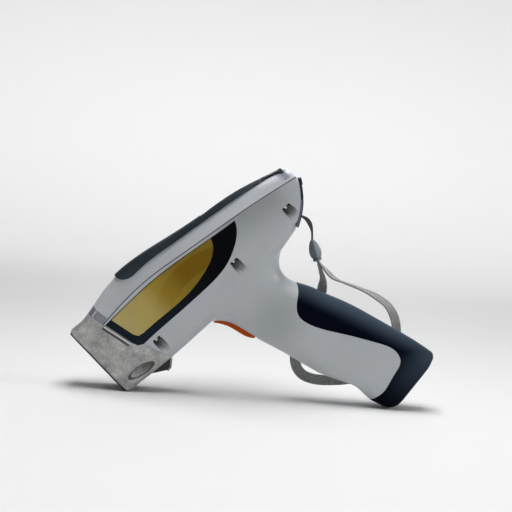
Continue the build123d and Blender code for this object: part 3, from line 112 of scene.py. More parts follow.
class Paint:
    """A value or colour of a material. Arithmetic on it adds Math nodes."""

    def __init__(self, tree, socket):
        self.tree = tree
        self.socket = socket

    def node(self, kind, inputs, output=0, stops=(), **settings):
        """Any other node, with its settings set first. inputs are values or other paints."""
        made = self.tree.nodes.new("ShaderNode" + kind)
        for name, value in settings.items():
            setattr(made, name, value)
        for i, (spot, colour) in enumerate(stops):
            elements = made.color_ramp.elements
            stop = elements[i] if i < 2 else elements.new(spot)
            stop.position = spot
            rgb = (colour, colour, colour) if isinstance(colour, float) else colour
            stop.color = (*rgb, 1.0)
        for name, value in inputs.items():
            if isinstance(value, Paint):
                self.tree.links.new(value.socket, made.inputs[name])
            else:
                made.inputs[name].default_value = value
        return Paint(self.tree, made.outputs[output])

    def maths(self, operation, other=0.0):
        return self.node("Math", {0: self, 1: other}, operation=operation)

    def __add__(self, other):
        return self.maths("ADD", other)

    __radd__ = __add__

    def __sub__(self, other):
        return self.maths("SUBTRACT", other)

    def __rsub__(self, other):
        return self.node("Math", {0: other, 1: self}, operation="SUBTRACT")

    def __mul__(self, other):
        return self.maths("MULTIPLY", other)

    __rmul__ = __mul__

    def __truediv__(self, other):
        return self.maths("DIVIDE", other)

    def __pow__(self, other):
        return self.maths("POWER", other)

    def sine(self):
        return self.maths("SINE")

    def size(self):
        return self.maths("ABSOLUTE")

    def ramp(self, *stops):
        """A colour, or a grey, that changes with this value."""
        return self.node("ValToRGB", {"Fac": self}, stops=stops)

    def step(self, low, high):
        """Runs smoothly from 0 to 1 as this value goes from low to high."""
        return self.node("MapRange", {0: self, 1: low, 2: high, 3: 0.0, 4: 1.0},
                         interpolation_type="SMOOTHSTEP")

    def within(self, middle, half, soft):
        """1 where this value is within half of the middle, and 0 from soft beyond that."""
        return 1.0 - (self - middle).size().step(half, half + soft)

    def between(self, first, second):
        """A mix of two colours by this value."""
        pair = [v if isinstance(v, Paint) else (*v, 1.0) for v in (first, second)]
        return self.node("Mix", {0: self, 6: pair[0], 7: pair[1]}, output=2, data_type="RGBA")

    def xyz(self):
        split = self.node("SeparateXYZ", {0: self}).socket.node
        return [Paint(self.tree, out) for out in split.outputs]

    def noise(self, scale, detail=3.0, roughness=0.5):
        return self.node("TexNoise", {"Vector": self, "Scale": scale, "Detail": detail,
                                      "Roughness": roughness})

    def cells(self, scale):
        return self.node("TexVoronoi", {"Vector": self, "Scale": scale})

    def stretched(self, x, y, z):
        return self.node("Mapping", {"Vector": self, "Scale": (x, y, z)})

    def own_frame(self):
        """Object coordinates turned into the instrument's own frame, in metres."""
        return self.node("Mapping", {"Vector": self, "Location": PLACE,
                                     "Rotation": (0.0, -PITCH, 0.0)}, vector_type="TEXTURE")


def coordinates(material, kind="Object"):
    """The Object or UV coordinates that a material reads."""
    tree = material.node_tree
    return Paint(tree, tree.nodes["Texture Coordinate"].outputs[kind])


def new_material(name, **fixed):
    """A material with the numbers that are the same all over, and its Object coordinates."""
    material = bpy.data.materials.new(name)
    material.use_nodes = True
    tree = material.node_tree
    shader = tree.nodes["Principled BSDF"]
    for key, value in fixed.items():
        socket = key.replace("_", " ").title().replace("Ior", "IOR")
        shader.inputs[socket].default_value = value
    tree.nodes.new("ShaderNodeTexCoord")
    return material, coordinates(material)


def wire(material, base, roughness=None, height=None, depth=None, metallic=None):
    """Links what changes over a surface to its shader. depth is the bumps' full height."""
    tree = material.node_tree
    shader = tree.nodes["Principled BSDF"]
    for name, paint in (("Base Color", base), ("Roughness", roughness), ("Metallic", metallic)):
        if paint is not None:
            tree.links.new(paint.socket, shader.inputs[name])
    if height is not None:
        bump = height.node("Bump", {"Height": height, "Distance": depth, "Strength": 1.0})
        tree.links.new(bump.socket, shader.inputs["Normal"])
    return material


def smooth_line(route, name):
    """The points of the smooth curve that a route's points control."""
    curve = bpy.data.curves.new(name, "CURVE")
    curve.dimensions = "3D"
    curve.resolution_u = 12
    spline = curve.splines.new("NURBS")
    spline.points.add(len(route) - 1)
    for point, place in zip(spline.points, route):
        point.co = (*at(*place), 1.0)
    spline.order_u = 3
    spline.use_endpoint_u = True
    holder = bpy.data.objects.new(name, curve)
    mesh = bpy.data.meshes.new_from_object(holder)
    line = [v.co.copy() for v in mesh.vertices]
    bpy.data.objects.remove(holder)
    return line


def square_to(along, hint):
    return (hint - along * hint.dot(along)).normalized()


def travelled(line):
    total = [0.0]
    for before, after in zip(line, line[1:]):
        total.append(total[-1] + (after - before).length)
    return total


def sweep(name, line, outline, wide_at, spread=lambda share: 1.0):
    """A closed tube along a line, with UVs that run round it and, in metres, along it.
    spread widens the outline by its share of the way along."""
    bm = bmesh.new()
    along_it = travelled(line)
    rings = []
    for i, point in enumerate(line):
        along = (line[min(i + 1, len(line) - 1)] - line[max(i - 1, 0)]).normalized()
        wide = wide_at(along_it[i], along_it[-1], along)
        up = along.cross(wide).normalized()
        wider = spread(along_it[i] / along_it[-1])
        rings.append([bm.verts.new(point + wide * (a * wider) + up * b) for a, b in outline])
    layer = bm.loops.layers.uv.new("along")
    count = len(outline)
    for i, (ring, following) in enumerate(zip(rings, rings[1:])):
        for j in range(count):
            k = (j + 1) % count
            face = bm.faces.new((ring[j], ring[k], following[k], following[j]))
            corners = ((i, j), (i, j + 1), (i + 1, j + 1), (i + 1, j))
            for loop, (row, column) in zip(face.loops, corners):
                loop[layer].uv = (column / count, along_it[row])
    bm.faces.new(list(reversed(rings[0])))
    bm.faces.new(rings[-1])
    return finished(bm, name)


def braided_cord():
    """Dark polyester strands that cross in a fine diamond braid."""
    material, place = new_material("braided_cord", roughness=0.75, sheen_weight=0.3)
    round_it, along, _ = coordinates(material, "UV").xyz()
    one = (round_it * tau * STRANDS_ROUND + along * STRANDS_ALONG).sine()
    other = (round_it * tau * STRANDS_ROUND - along * STRANDS_ALONG).sine()
    strands = one.size().maths("MAXIMUM", other.size())
    shade = strands * 0.7 + place.noise(2600, 2.0) * 0.3
    base = shade.ramp((0.25, (0.008, 0.010, 0.012)), (0.9, (0.07, 0.075, 0.08)))
    return wire(material, base, height=shade, depth=0.00025)


def loop_side(distance, total, along):
    """The way from one strand of the loop to the other."""
    return square_to(along, turned(-1, 0.5, 0))


def loop_spread(share):
    """The loop is narrow at the pin and in the slider, and opens between them."""
    return 0.75 + 0.95 * sin(pi * min(share * 1.25, 1.0)) ** 2


def make_cord():
    line = smooth_line(CORD_ROUTE, "cord_route")
    # The two strands of the loop lie side by side: the outline is pinched between them.
    radius = CORD_DIAMETER / 2
    turns = [i * tau / CORD_SIDES for i in range(CORD_SIDES)]
    outline = [(radius * 1.05 * cos(a), radius * (0.55 + 0.35 * cos(a) ** 2) * sin(a))
               for a in turns]
    cord = link("lanyard", sweep("lanyard", line, outline, loop_side, loop_spread))
    cord.data.materials.append(braided_cord())
    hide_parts("lanyard_cord")


make_cord()

# The strap's webbing
# Flat grey polyester webbing, woven in a herringbone with firmer edges. Both its ends are
# moulded into the slider, and its loop hangs beside the grip.
STRAP_ROUTE = [
    (214.2, 8.7, -73.9), (211.2, 12.4, -81.4), (205.6, 18.8, -91.0), (195.0, 25.6, -101.0),
    (179.0, 29.4, -109.0), (160.0, 30.6, -115.2), (143.0, 29.0, -120.4), (131.0, 27.2, -130.4),
    (127.0, 26.6, -143.6), (133.6, 27.4, -156.8), (145.2, 28.2, -168.6), (158.8, 29.0, -180.0),
    (176.4, 29.8, -187.8), (196.0, 30.4, -190.0), (215.2, 30.2, -184.2), (229.0, 29.2, -171.2),
    (235.2, 28.0, -154.0), (231.8, 26.4, -136.8), (224.4, 23.4, -118.4), (217.0, 18.6, -103.4),
    (213.4, 13.6, -90.0), (215.1, 10.2, -74.7),
]
STRAP_WIDTH = 0.010
STRAP_THICKNESS = 0.0016
# A quarter of its outline, from the firm edge in, in shares of half the width and thickness
STRAP_QUARTER = [(1.0, 0.35), (0.97, 0.85), (0.86, 1.0), (0.78, 0.72), (0.4, 0.78), (0.0, 0.8)]
# How far it is turned from face on, in degrees, at distances in metres from the slider
NEAR_TURNS = [(0.0, 84), (0.012, 72), (0.034, 20), (0.06, 0)]
FAR_TURNS = [(0.0, 88), (0.018, 70), (0.032, 88), (0.05, 82), (0.075, 58), (0.1, 32), (0.13, 8),
             (0.15, 0)]
TWILLS_ALONG = 5200
WARPS_ACROSS = 15


def woven_webbing():
    material, place = new_material("woven_webbing", roughness=0.85, sheen_weight=0.35)
    round_it, along, _ = coordinates(material, "UV").xyz()
    # Each face of the webbing takes half of the way round it.
    across = (round_it * 2).maths("FRACT")
    vee = (across * 3).maths("PINGPONG", 0.5)
    twill = (along * TWILLS_ALONG + vee * 16).sine() * 0.5 + 0.5
    warp = (across * tau * WARPS_ACROSS).sine() * 0.5 + 0.5
    weave = twill * 0.65 + warp * 0.35
    shade = weave * 0.45 + place.noise(700, 3.0, 0.7) * 0.55
    base = shade.ramp((0.3, (0.05, 0.054, 0.052)), (0.48, (0.19, 0.195, 0.19)),
                      (0.66, (0.52, 0.525, 0.515)))
    return wire(material, base, height=weave, depth=0.0003)


def turn_at(distance, turns):
    """The webbing's turn at a distance, run smoothly between the turns that are given."""
    for (near, first), (far, second) in zip(turns, turns[1:]):
        if distance < far:
            share = (distance - near) / (far - near)
            return radians(first + (second - first) * share * share * (3 - 2 * share))
    return 0.0


def wide_at(distance, total, along):
    """The way across the webbing. It is face on to the camera where it isn't turned."""
    flat = square_to(along, Vector((0, 1, 0)))
    turn = turn_at(distance, NEAR_TURNS) - turn_at(total - distance, FAR_TURNS)
    return (along.cross(flat) * cos(turn) + flat * sin(turn)).normalized()


def make_strap():
    line = smooth_line(STRAP_ROUTE, "strap_route")
    half, thick = STRAP_WIDTH / 2, STRAP_THICKNESS / 2
    upper = STRAP_QUARTER + [(-a, b) for a, b in reversed(STRAP_QUARTER[:-1])]
    outline = [(a * half, b * thick) for a, b in upper + [(a, -b) for a, b in reversed(upper)]]
    strap = link("webbing", sweep("webbing", line, outline, wide_at))
    strap.data.materials.append(woven_webbing())
    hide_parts("wrist_strap")


make_strap()

# The strap's slider
# A small moulded slider in two tones of grey. Its halves are pressed together over the cord
# and both ends of the webbing, so a seam runs round its middle.
SLIDER_TOP = (224.7, 7.2, -55.3)
SLIDER_END = (214.9, 9.4, -73.7)
SLIDER_WIDTH = 0.0118
SLIDER_DEPTH = 0.0086
SLIDER_REACH = 0.985
SLIDER_STEPS = 40
# Its radius and the way down it, in shares, with a groove above the lip at the webbing's end
SLIDER_PROFILE = [
    (0.24, 0.0), (0.34, 0.01), (0.42, 0.05), (0.62, 0.14), (0.84, 0.3), (0.97, 0.48),
    (1.0, 0.6), (0.94, 0.72), (0.78, 0.83), (0.66, 0.86), (0.66, 0.88), (0.72, 0.895),
    (0.72, 0.98), (0.66, 1.0),
]


def slider_plastic():
    """The dark half faces the camera's left and the pale half its right."""
    material, place = new_material("slider_plastic", coat_weight=0.15, coat_roughness=0.3)
    across, down, _ = coordinates(material, "UV").xyz()
    grain = place.noise(1800, 3.0)
    tone = across.step(-0.03, 0.03).between((0.085, 0.11, 0.13), (0.24, 0.275, 0.30))
    # The seam's dark line is the joint of the halves. The groove above the lip is painted dark:
    # painted shade.
    seam = across.size().step(0.0, 0.045)
    groove = down.ramp((0.855, 1.0), (0.862, 0.0), (0.878, 0.0), (0.886, 1.0))
    proud = seam.maths("MINIMUM", groove)
    base = proud.between((0.03, 0.032, 0.035), tone)
    return wire(material, base, grain * 0.15 + 0.36, grain * 0.3 + proud * 0.7, 0.0002)


def make_slider():
    bm = bmesh.new()
    top, end = at(*SLIDER_TOP), at(*SLIDER_END)
    axis = (end - top).normalized()
    wide = square_to(axis, turned(1, 0, 0))
    deep = axis.cross(wide)
    length = (end - top).length
    uv = bm.loops.layers.uv.new("two_tone")
    outline = [(0.0, 0.0), *SLIDER_PROFILE, (0.0, 1.0)]
    start = [bm.verts.new((x, 0.0, z)) for x, z in outline]
    edges = [bm.edges.new(pair) for pair in zip(start, start[1:])]
    bmesh.ops.spin(bm, geom=start + edges, cent=(0, 0, 0), axis=(0, 0, 1), angle=tau,
                   steps=SLIDER_STEPS, use_merge=True, use_duplicate=False)
    bmesh.ops.remove_doubles(bm, verts=bm.verts, dist=1e-5)
    for face in bm.faces:
        for loop in face.loops:
            loop[uv].uv = (loop.vert.co.x, loop.vert.co.z)
    for vert in bm.verts:
        x, y, z = vert.co
        vert.co = (top + wide * (x * SLIDER_WIDTH / 2) + deep * (y * SLIDER_DEPTH / 2)
                   + axis * (z * length * SLIDER_REACH))
    slider = link("slider", finished(bm, "slider"))
    rounding = slider.modifiers.new("rounding", "SUBSURF")
    rounding.levels = rounding.render_levels = 2
    slider.data.materials.append(slider_plastic())
    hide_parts("strap_bead")


make_slider()

# The housing halves
# Two mouldings in light grey plastic with a fine spark-eroded grain, screwed together over a
# dark rubber gasket. The cover carries the display; the tub runs on into the handle.
GRAIN_SIZE = 0.00032
GRAIN_DEPTH = 0.00004
# The cover's lower edge, on its way up the instrument's side
EDGE_START = (0.131, 0.0205)
EDGE_FALL = 0.163
# Middle and colour of the painted shade at the top of the handle
PAINTED_SHADE_SPOT = (0.150, -0.086)
PAINTED_SHADE_COLOUR = (0.17, 0.19, 0.19)
# Where each housing screw's pocket is, from the nose and up, with the tub's half width there
POCKETS = [(0.0566, -0.0200, 0.0282), (0.1594, -0.0166, 0.0324), (0.2290, -0.0130, 0.0386)]
POCKET_LIP = 0.0014
POCKET_HALF_WIDTH = 0.0052
# The painted shadow under each pocket's ceiling and the painted shade below it
POCKET_PAINTED_SHADOW = (0.012, 0.013, 0.015)
POCKET_PAINTED_SHADE = (0.10, 0.105, 0.108)


def paint_nodes(material, *names):
    """Gives CAD nodes a material. Their meshes stay as they are."""
    for name in names:
        slots = nodes[name].material_slots
        if not slots:
            nodes[name].data.materials.append(material)
        for slot in slots:
            slot.material = material


def grained_plastic(name, low, high, roughness, **fixed):
    """Moulded plastic: a spark-eroded grain, and slow changes of tone from handling."""
    material, place = new_material(name, **fixed)
    fine = place.noise(1 / GRAIN_SIZE, 2.0, 0.6)
    slow = place.noise(14, 3.0, 0.5)
    scuffs = place.stretched(1, 1, 3).noise(160, 5.0, 0.65).step(0.62, 0.8)
    base = (slow * 0.7 + fine * 0.3).step(0.3, 0.7).between(low, high)
    return wire(material, base, roughness + slow * 0.08 + scuffs * 0.07, fine, GRAIN_DEPTH)


def repaint(material, layer):
    """Lays a layer over a material's colour, by the place in the instrument's own frame."""
    tree = material.node_tree
    below = tree.nodes["Principled BSDF"].inputs["Base Color"].links[0].from_socket
    x, y, z = coordinates(material).own_frame().xyz()
    wire(material, layer(Paint(tree, below), x, y, z))


def from_axis(x, z, middle):
    """How far a place is from an axis that runs across the instrument."""
    across, up = x - middle[0], z - middle[1]
    return (across * across + up * up) ** 0.5


def painted_light_and_shade(base, x, y, z):
    """Painted highlight: the cover is paler to its rear. Painted shade: the tub is greyer under
    its edge and at the top of the handle.
    """
    below = EDGE_START[1] - (x - EDGE_START[0]) * EDGE_FALL - z
    on_cover = 1.0 - below.step(-0.0006, 0.0)
    on_tub = below.step(-0.0006, 0.0)
    # Painted highlight: the cover is painted paler towards its rear
    pale = on_cover * x.step(0.07, 0.25)
    amidships = x.step(0.13, 0.19) * (1.0 - x.step(0.222, 0.25))
    # Painted shade: the tub is painted greyer under the cover's edge
    shaded = (1.0 - below.step(0.0, 0.036)) * on_tub * amidships
    # Painted shade in a spot at the top of the handle
    painted_spot = 1.0 - from_axis(x, z, PAINTED_SHADE_SPOT).step(0.004, 0.036)
    base = (pale * 0.42).between(base, (0.88, 0.91, 0.97))
    base = (shaded * 0.50).between(base, (0.15, 0.165, 0.17))
    return (painted_spot * 0.34).between(base, PAINTED_SHADE_COLOUR)


def painted_pocket_shade(base, x, y, z):
    """Painted shade: black under the ceiling of each pocket, thinning to grey below."""
    for pocket_x, pocket_z, side in POCKETS:
        down = pocket_z - z
        inside = (y.within(0.0, side - POCKET_LIP, 0.0006)
                  * x.within(pocket_x, POCKET_HALF_WIDTH, 0.0004) * down.step(-0.0012, -0.0004))
        base = (inside * (1.0 - down.step(0.004, 0.017)) * 0.85).between(base, POCKET_PAINTED_SHADE)
        base = (inside * (1.0 - down.step(0.0012, 0.0030))).between(base, POCKET_PAINTED_SHADOW)
    return base


grey_housing = grained_plastic("grey_housing", (0.44, 0.468, 0.490), (0.475, 0.503, 0.525), 0.32,
                               coat_weight=0.1, coat_roughness=0.3)
# Painted highlight on the cover and painted shade on the tub
repaint(grey_housing, painted_light_and_shade)
# Painted shade in the screw pockets
repaint(grey_housing, painted_pocket_shade)
paint_nodes(grey_housing, "upper_housing", "lower_housing")
gasket_rubber = grained_plastic("gasket_rubber", (0.012, 0.013, 0.015), (0.022, 0.023, 0.026), 0.6)
paint_nodes(gasket_rubber, "parting_gasket")

# The root of the handle
# The tub's plastic flows out of the barrel's flank into the handle without an edge, so the
# tub is a copy of the CAD solid's surface that is relaxed along that line only.
ROOT_NEAR = (100.0, 15.0, -53.0)
ROOT_FAR = (206.0, 40.0, -31.0)
ROOT_EDGE = 0.0032
ROOT_SPLITS = 6
ROOT_PASSES = 90
WELD = 2e-6
FACING_OUT = 0.25
SHARP = radians(38)


def own_place(point):
    """A point of the scene in the instrument's own frame, in millimetres."""
    way = (point - PLACE) * 1000
    return Vector((way.x * cos(PITCH) + way.z * sin(PITCH), way.y,
                   way.z * cos(PITCH) - way.x * sin(PITCH)))


def at_root(face):
    """Whether a face is on either flank of the tub, in the box round the handle's root."""
    centre = face.calc_center_median()
    x, y, z = own_place(centre)
    outward = face.normal.y * (1 if centre.y > 0 else -1)
    return (outward > FACING_OUT and ROOT_NEAR[0] < x < ROOT_FAR[0]
            and ROOT_NEAR[1] < abs(y) < ROOT_FAR[1] and ROOT_NEAR[2] < z < ROOT_FAR[2])


def make_tub():
    bm = bmesh.new()
    bm.from_mesh(nodes["lower_housing"].data)
    bmesh.ops.remove_doubles(bm, verts=bm.verts, dist=WELD)
    bm.normal_update()
    for _ in range(ROOT_SPLITS):
        long_edges = {edge for face in bm.faces if at_root(face) for edge in face.edges
                      if edge.calc_length() > ROOT_EDGE}
        if not long_edges:
            break
        bmesh.ops.subdivide_edges(bm, edges=list(long_edges), cuts=1)
        bmesh.ops.triangulate(bm, faces=[face for face in bm.faces if len(face.verts) > 3])
        bm.normal_update()
    skin = {face for face in bm.faces if at_root(face)}
    loose = [vert for vert in bm.verts
             if vert.link_faces and all(face in skin for face in vert.link_faces)]
    for _ in range(ROOT_PASSES):
        bmesh.ops.smooth_vert(bm, verts=loose, factor=0.5, use_axis_x=True, use_axis_y=True,
                              use_axis_z=True)
    bm.normal_update()
    for edge in bm.edges:
        edge.smooth = len(edge.link_faces) == 2 and edge.calc_face_angle(0.0) < SHARP
    mesh = bpy.data.meshes.new("tub")
    bm.to_mesh(mesh)
    bm.free()
    tub = link("tub", mesh)
    tub.data.materials.append(grey_housing)
    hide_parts("lower_housing")


make_tub()

# The rubber boot, the pad and the butt cap
# Soft navy rubber, moulded over the grip and glued in a pad on the cover, with a silky touch
# and dust in its grain. The back of the grip is painted paler: a painted highlight. The heel
# is paler at its foot.
# Where the painted highlight on the back of the grip begins, and the way it runs
HIGHLIGHT_EDGE = (0.1923, -0.0847)
HIGHLIGHT_WAY = (0.937, 0.350)
HEEL_HEIGHT = -0.211
DUST = (0.12, 0.14, 0.16)


def past(x, z, start, way):
    """How far a place is beyond a start, along a way up the instrument's side."""
    return (x - start[0]) * way[0] + (z - start[1]) * way[1]


def navy_rubber(name, low, high, shine, pale=None):
    material, place = new_material(name, specular_ior_level=shine)
    fine = place.noise(3400, 2.0, 0.6)
    slow = place.noise(30, 4.0, 0.55)
    dust = place.noise(900, 4.0, 0.7).step(0.66, 0.8) * slow.step(0.4, 0.7)
    tone = slow.step(0.3, 0.7).between(low, high)
    if pale is not None:
        x, _, z = place.own_frame().xyz()
        # Painted highlight: the back of the grip is painted paler
        painted_highlight = past(x, z, HIGHLIGHT_EDGE, HIGHLIGHT_WAY).step(-0.017, 0.001)
        heel = (1.0 - (z - HEEL_HEIGHT).step(0.001, 0.026)) * x.step(0.170, 0.226) * 0.8
        tone = painted_highlight.maths("MAXIMUM", heel).between(tone, pale)
    base = (dust * 0.06).between(tone, DUST)
    return wire(material, base, slow * 0.12 + 0.40, fine, 0.00003)


boot_rubber = navy_rubber("boot_rubber", (0.0004, 0.0012, 0.0060), (0.0010, 0.0028, 0.0095), 0.04,
                          (0.034, 0.052, 0.074))
pad_rubber = navy_rubber("pad_rubber", (0.012, 0.019, 0.027), (0.019, 0.029, 0.038), 0.34)
paint_nodes(boot_rubber, "grip_boot", "battery_cap")
paint_nodes(pad_rubber, "top_pad")

# The side inlays and their labels
# Satin near-black inlays are clipped into both sides, each with a gold printed film. The
# film's print is gold with a few soft arcs. Its fall from pale gold at the front to dark olive
# at the rear is a painted reflection.
LABEL_FRONT = 0.030
LABEL_REAR = 0.150
ARC_MIDDLE = (0.118, -0.062)
ARC_SPACING = 0.017


def inlay_plastic():
    material, place = new_material("inlay_plastic", specular_ior_level=0.05)
    x, _, _ = place.own_frame().xyz()
    fine = place.noise(2600, 2.0)
    # The inlay's front part is painted lighter: a painted reflection.
    base = x.step(0.05, 0.15).between((0.010, 0.014, 0.022), (0.0002, 0.0005, 0.0018))
    return wire(material, base, fine * 0.1 + 0.34, fine, 0.00002)


def printed_film():
    material, place = new_material("printed_film", specular_ior_level=0.1)
    x, _, z = place.own_frame().xyz()
    share = (x - LABEL_FRONT) / (LABEL_REAR - LABEL_FRONT)
    # The gold is print; its fall from front to rear is a painted reflection
    gold = share.ramp((0.0, (0.50, 0.42, 0.17)), (0.36, (0.43, 0.33, 0.10)),
                      (0.5, (0.30, 0.20, 0.022)), (0.72, (0.185, 0.106, 0.0010)),
                      (1.0, (0.175, 0.10, 0.0008)))
    arcs = (from_axis(x, z, ARC_MIDDLE) / ARC_SPACING).maths("PINGPONG", 1.0).step(0.42, 0.58)
    lit = (arcs * 0.12).between(gold, (0.55, 0.42, 0.10))
    speck = place.noise(1500, 2.0)
    # The film's cut edge, which doesn't face sideways, is left pale.
    _, sideways, _ = place.node("NewGeometry", {}, output="Normal").xyz()
    base = sideways.within(0.0, 0.55, 0.35).between(lit, (0.50, 0.49, 0.42))
    return wire(material, base, speck * 0.08 + 0.3, speck, 0.00001)


paint_nodes(inlay_plastic(), "side_inlay_left", "side_inlay_right")
paint_nodes(printed_film(), "side_label_left", "side_label_right")

# The warning-light lenses
# Polished translucent mouldings, snapped into the cover: a smoky one across its front edge,
# and two pale lilac ones at its rear corners with a lamp bar behind each.
RIB_SPACING = 0.0022
LAMP_BAR_X = 0.2475
LAMP_BAR_HALF = 0.0016


def lens_plastic(name, low, high, lamp_bar=False):
    material, place = new_material(name, coat_weight=1.0, coat_roughness=0.04, ior=1.5)
    x, y, _ = place.own_frame().xyz()
    cloud = place.noise(55, 3.0)
    ribs = (y * (tau / RIB_SPACING)).sine() * 0.5 + 0.5
    base = (cloud * 0.6 + ribs * 0.15).between(low, high)
    if lamp_bar:
        bar = x.within(LAMP_BAR_X, LAMP_BAR_HALF, 0.0012)
        base = (bar * 0.5).between(base, (0.20, 0.21, 0.26))
    return wire(material, base, cloud * 0.08 + 0.1, ribs, 0.00002)


smoke_lens = lens_plastic("smoke_lens", (0.13, 0.125, 0.16), (0.25, 0.24, 0.29))
lilac_lens = lens_plastic("lilac_lens", (0.40, 0.41, 0.50), (0.62, 0.63, 0.74), True)
paint_nodes(smoke_lens, "front_light_lens")
paint_nodes(lilac_lens, "rear_light_lenses")

# The cast nose
# A raw aluminium casting, mottled, and lightly scratched from being pressed on metal. It is
# screwed to the tub. Painted shade darkens the oval recess on each side and its rim.
RECESS_MIDDLE = (0.0258, -0.0325)
RECESS_LENGTHWISE = (0.983, -0.182)
RECESS_UPWARD = (0.182, 0.983)
RECESS_HALF_LENGTH = 0.0136
RECESS_HALF_HEIGHT = 0.0044


def raw_casting():
    material, place = new_material("raw_casting", specular_ior_level=0.5)
    own = place.own_frame()
    x, _, z = own.xyz()
    patches = own.noise(85, 6.0, 0.62)
    speckle = own.noise(700, 4.0, 0.7)
    pores = (1.0 - own.cells(420)).step(0.86, 0.97)
    scratch = own.stretched(0.25, 1.0, 1.6).noise(900, 2.0, 0.4).step(0.68, 0.74)
    scuff = own.stretched(1.2, 1.0, 0.35).noise(240, 3.0, 0.5).step(0.63, 0.75)
    stain = own.noise(30, 3.0, 0.5).step(0.42, 0.62)
    tone = (patches * 0.6 + speckle * 0.4).ramp(
        (0.35, (0.22, 0.22, 0.216)), (0.46, (0.37, 0.37, 0.365)), (0.55, (0.49, 0.49, 0.48)),
        (0.68, (0.72, 0.72, 0.71)))
    darker = (stain * 0.22).between(tone, (0.13, 0.128, 0.12))
    marked = (scratch * 0.5 + scuff * 0.3).between(darker, (0.85, 0.85, 0.84))
    pitted = (pores * 0.5).between(marked, (0.07, 0.07, 0.068))
    # Painted shade in the oval recess: a dark rim, and inside it darker towards one end
    length = past(x, z, RECESS_MIDDLE, RECESS_LENGTHWISE) / RECESS_HALF_LENGTH
    height = past(x, z, RECESS_MIDDLE, RECESS_UPWARD) / RECESS_HALF_HEIGHT
    oval = from_axis(length, height, (0.0, 0.0))
    rim = oval.within(0.98, 0.05, 0.10) * 0.8
    hollow = (1.0 - oval.step(0.93, 1.0)) * (length * 0.6 + height * 0.3).step(-0.5, 0.75) * 0.75
    base = rim.maths("MAXIMUM", hollow).between(pitted, (0.055, 0.053, 0.048))
    relief = patches * 0.5 + speckle * 0.3 - pores * 0.4
    return wire(material, base, 0.40 + patches * 0.25 - scratch * 0.1, relief, 0.00012,
                0.35 + patches * 0.2)


paint_nodes(raw_casting(), "nose_casting")

# The screws, pins and metal parts
# Turned and milled steel and aluminium, screwed or pressed in. The clip bars on the nose are
# bright on top; the side of each that faces forward is painted black, a painted shadow.
CLIP_MIDDLE = (0.0265, 0.0206)
CLIP_WAY = (0.972, 0.233)


def machined_metal(name, low, high, roughness, mark=0.0004):
    """Metal with fine tool marks and a few stains."""
    material, place = new_material(name)
    own = place.own_frame()
    marks = own.stretched(1.0, 0.15, 1.0).noise(1 / mark, 2.0, 0.5)
    stain = own.noise(120, 4.0, 0.6)
    base = (marks * 0.5 + stain * 0.5).step(0.3, 0.7).between(low, high)
    return wire(material, base, roughness + stain * 0.15, marks, 0.00003, 0.85 + stain * 0.15)


# Painted shadow: the side of each clip bar that faces forward is painted black
def painted_front_shadow(base, x, y, z):
    off = past(x, z, CLIP_MIDDLE, CLIP_WAY)
    return (1.0 - off.step(0.0010, 0.0014)).between(base, (0.006, 0.006, 0.006))


bright_steel = machined_metal("bright_steel", (0.52, 0.52, 0.53), (0.66, 0.66, 0.67), 0.18)
dark_steel = machined_metal("dark_steel", (0.05, 0.05, 0.052), (0.10, 0.10, 0.105), 0.32)
tube_steel = machined_metal("tube_steel", (0.42, 0.42, 0.43), (0.58, 0.58, 0.6), 0.25)
milled_aluminium = machined_metal("milled_aluminium", (0.55, 0.55, 0.56), (0.7, 0.7, 0.71), 0.3,
                                  0.0008)
clip_steel = machined_metal("clip_steel", (0.50, 0.49, 0.48), (0.68, 0.67, 0.65), 0.35)
# Painted shadow down the clip bars' forward side
repaint(clip_steel, painted_front_shadow)
paint_nodes(bright_steel, "face_plate_screws", "window_ring", "trigger_pin", "trigger_spring",
            "display_hinge_pin", "anchor_pin", "port_cover_pin", "data_port", "housing_screws")
paint_nodes(dark_steel, "nose_screws")
paint_nodes(tube_steel, "xray_tube", "detector", "filter_motor")
paint_nodes(milled_aluminium, "filter_wheel", "head_bracket", "chassis", "heat_sink")
paint_nodes(clip_steel, "clip_bars")

# The small plastic parts
# Glass-filled nylon mouldings: black for the face plate, the sockets' panel, the battery and
# what is inside, pale for the battery's latch, and a polished rim round the proximity window.
pale_trim = grained_plastic("pale_trim", (0.40, 0.40, 0.39), (0.50, 0.50, 0.49), 0.32)
rim_plastic = grained_plastic("rim_plastic", (0.15, 0.15, 0.15), (0.22, 0.22, 0.22), 0.15,
                              coat_weight=1.0)
black_plastic = grained_plastic("black_plastic", (0.008, 0.008, 0.009), (0.016, 0.016, 0.018), 0.38)
paint_nodes(pale_trim, "battery_latch")
paint_nodes(rim_plastic, "proximity_rim")
paint_nodes(black_plastic, "trigger_switch", "port_panel", "power_jack", "battery_pack",
            "battery_contacts", "high_voltage_module", "face_plate")

# The nose's two windows
# An amber polyimide film is stretched over the measurement window and clamped by its ring. A
# dark window, clear to infrared, is glued in under the nose for the proximity sensor.


def window_film():
    """The film has a few creases."""
    material, place = new_material("window_film", coat_weight=0.8, coat_roughness=0.05)
    creases = place.noise(260, 3.0)
    base = creases.between((0.30, 0.15, 0.03), (0.42, 0.24, 0.06))
    return wire(material, base, creases * 0.1 + 0.1, creases, 0.0002, creases * 0.3)


def infrared_window():
    material, place = new_material("infrared_window", coat_weight=0.2, coat_roughness=0.06,
                                   specular_ior_level=0.3)
    cloud = place.noise(120, 3.0)
    base = cloud.between((0.002, 0.0015, 0.0015), (0.007, 0.005, 0.0055))
    return wire(material, base, cloud * 0.1 + 0.16)


paint_nodes(window_film(), "window_film")
paint_nodes(infrared_window(), "proximity_window")

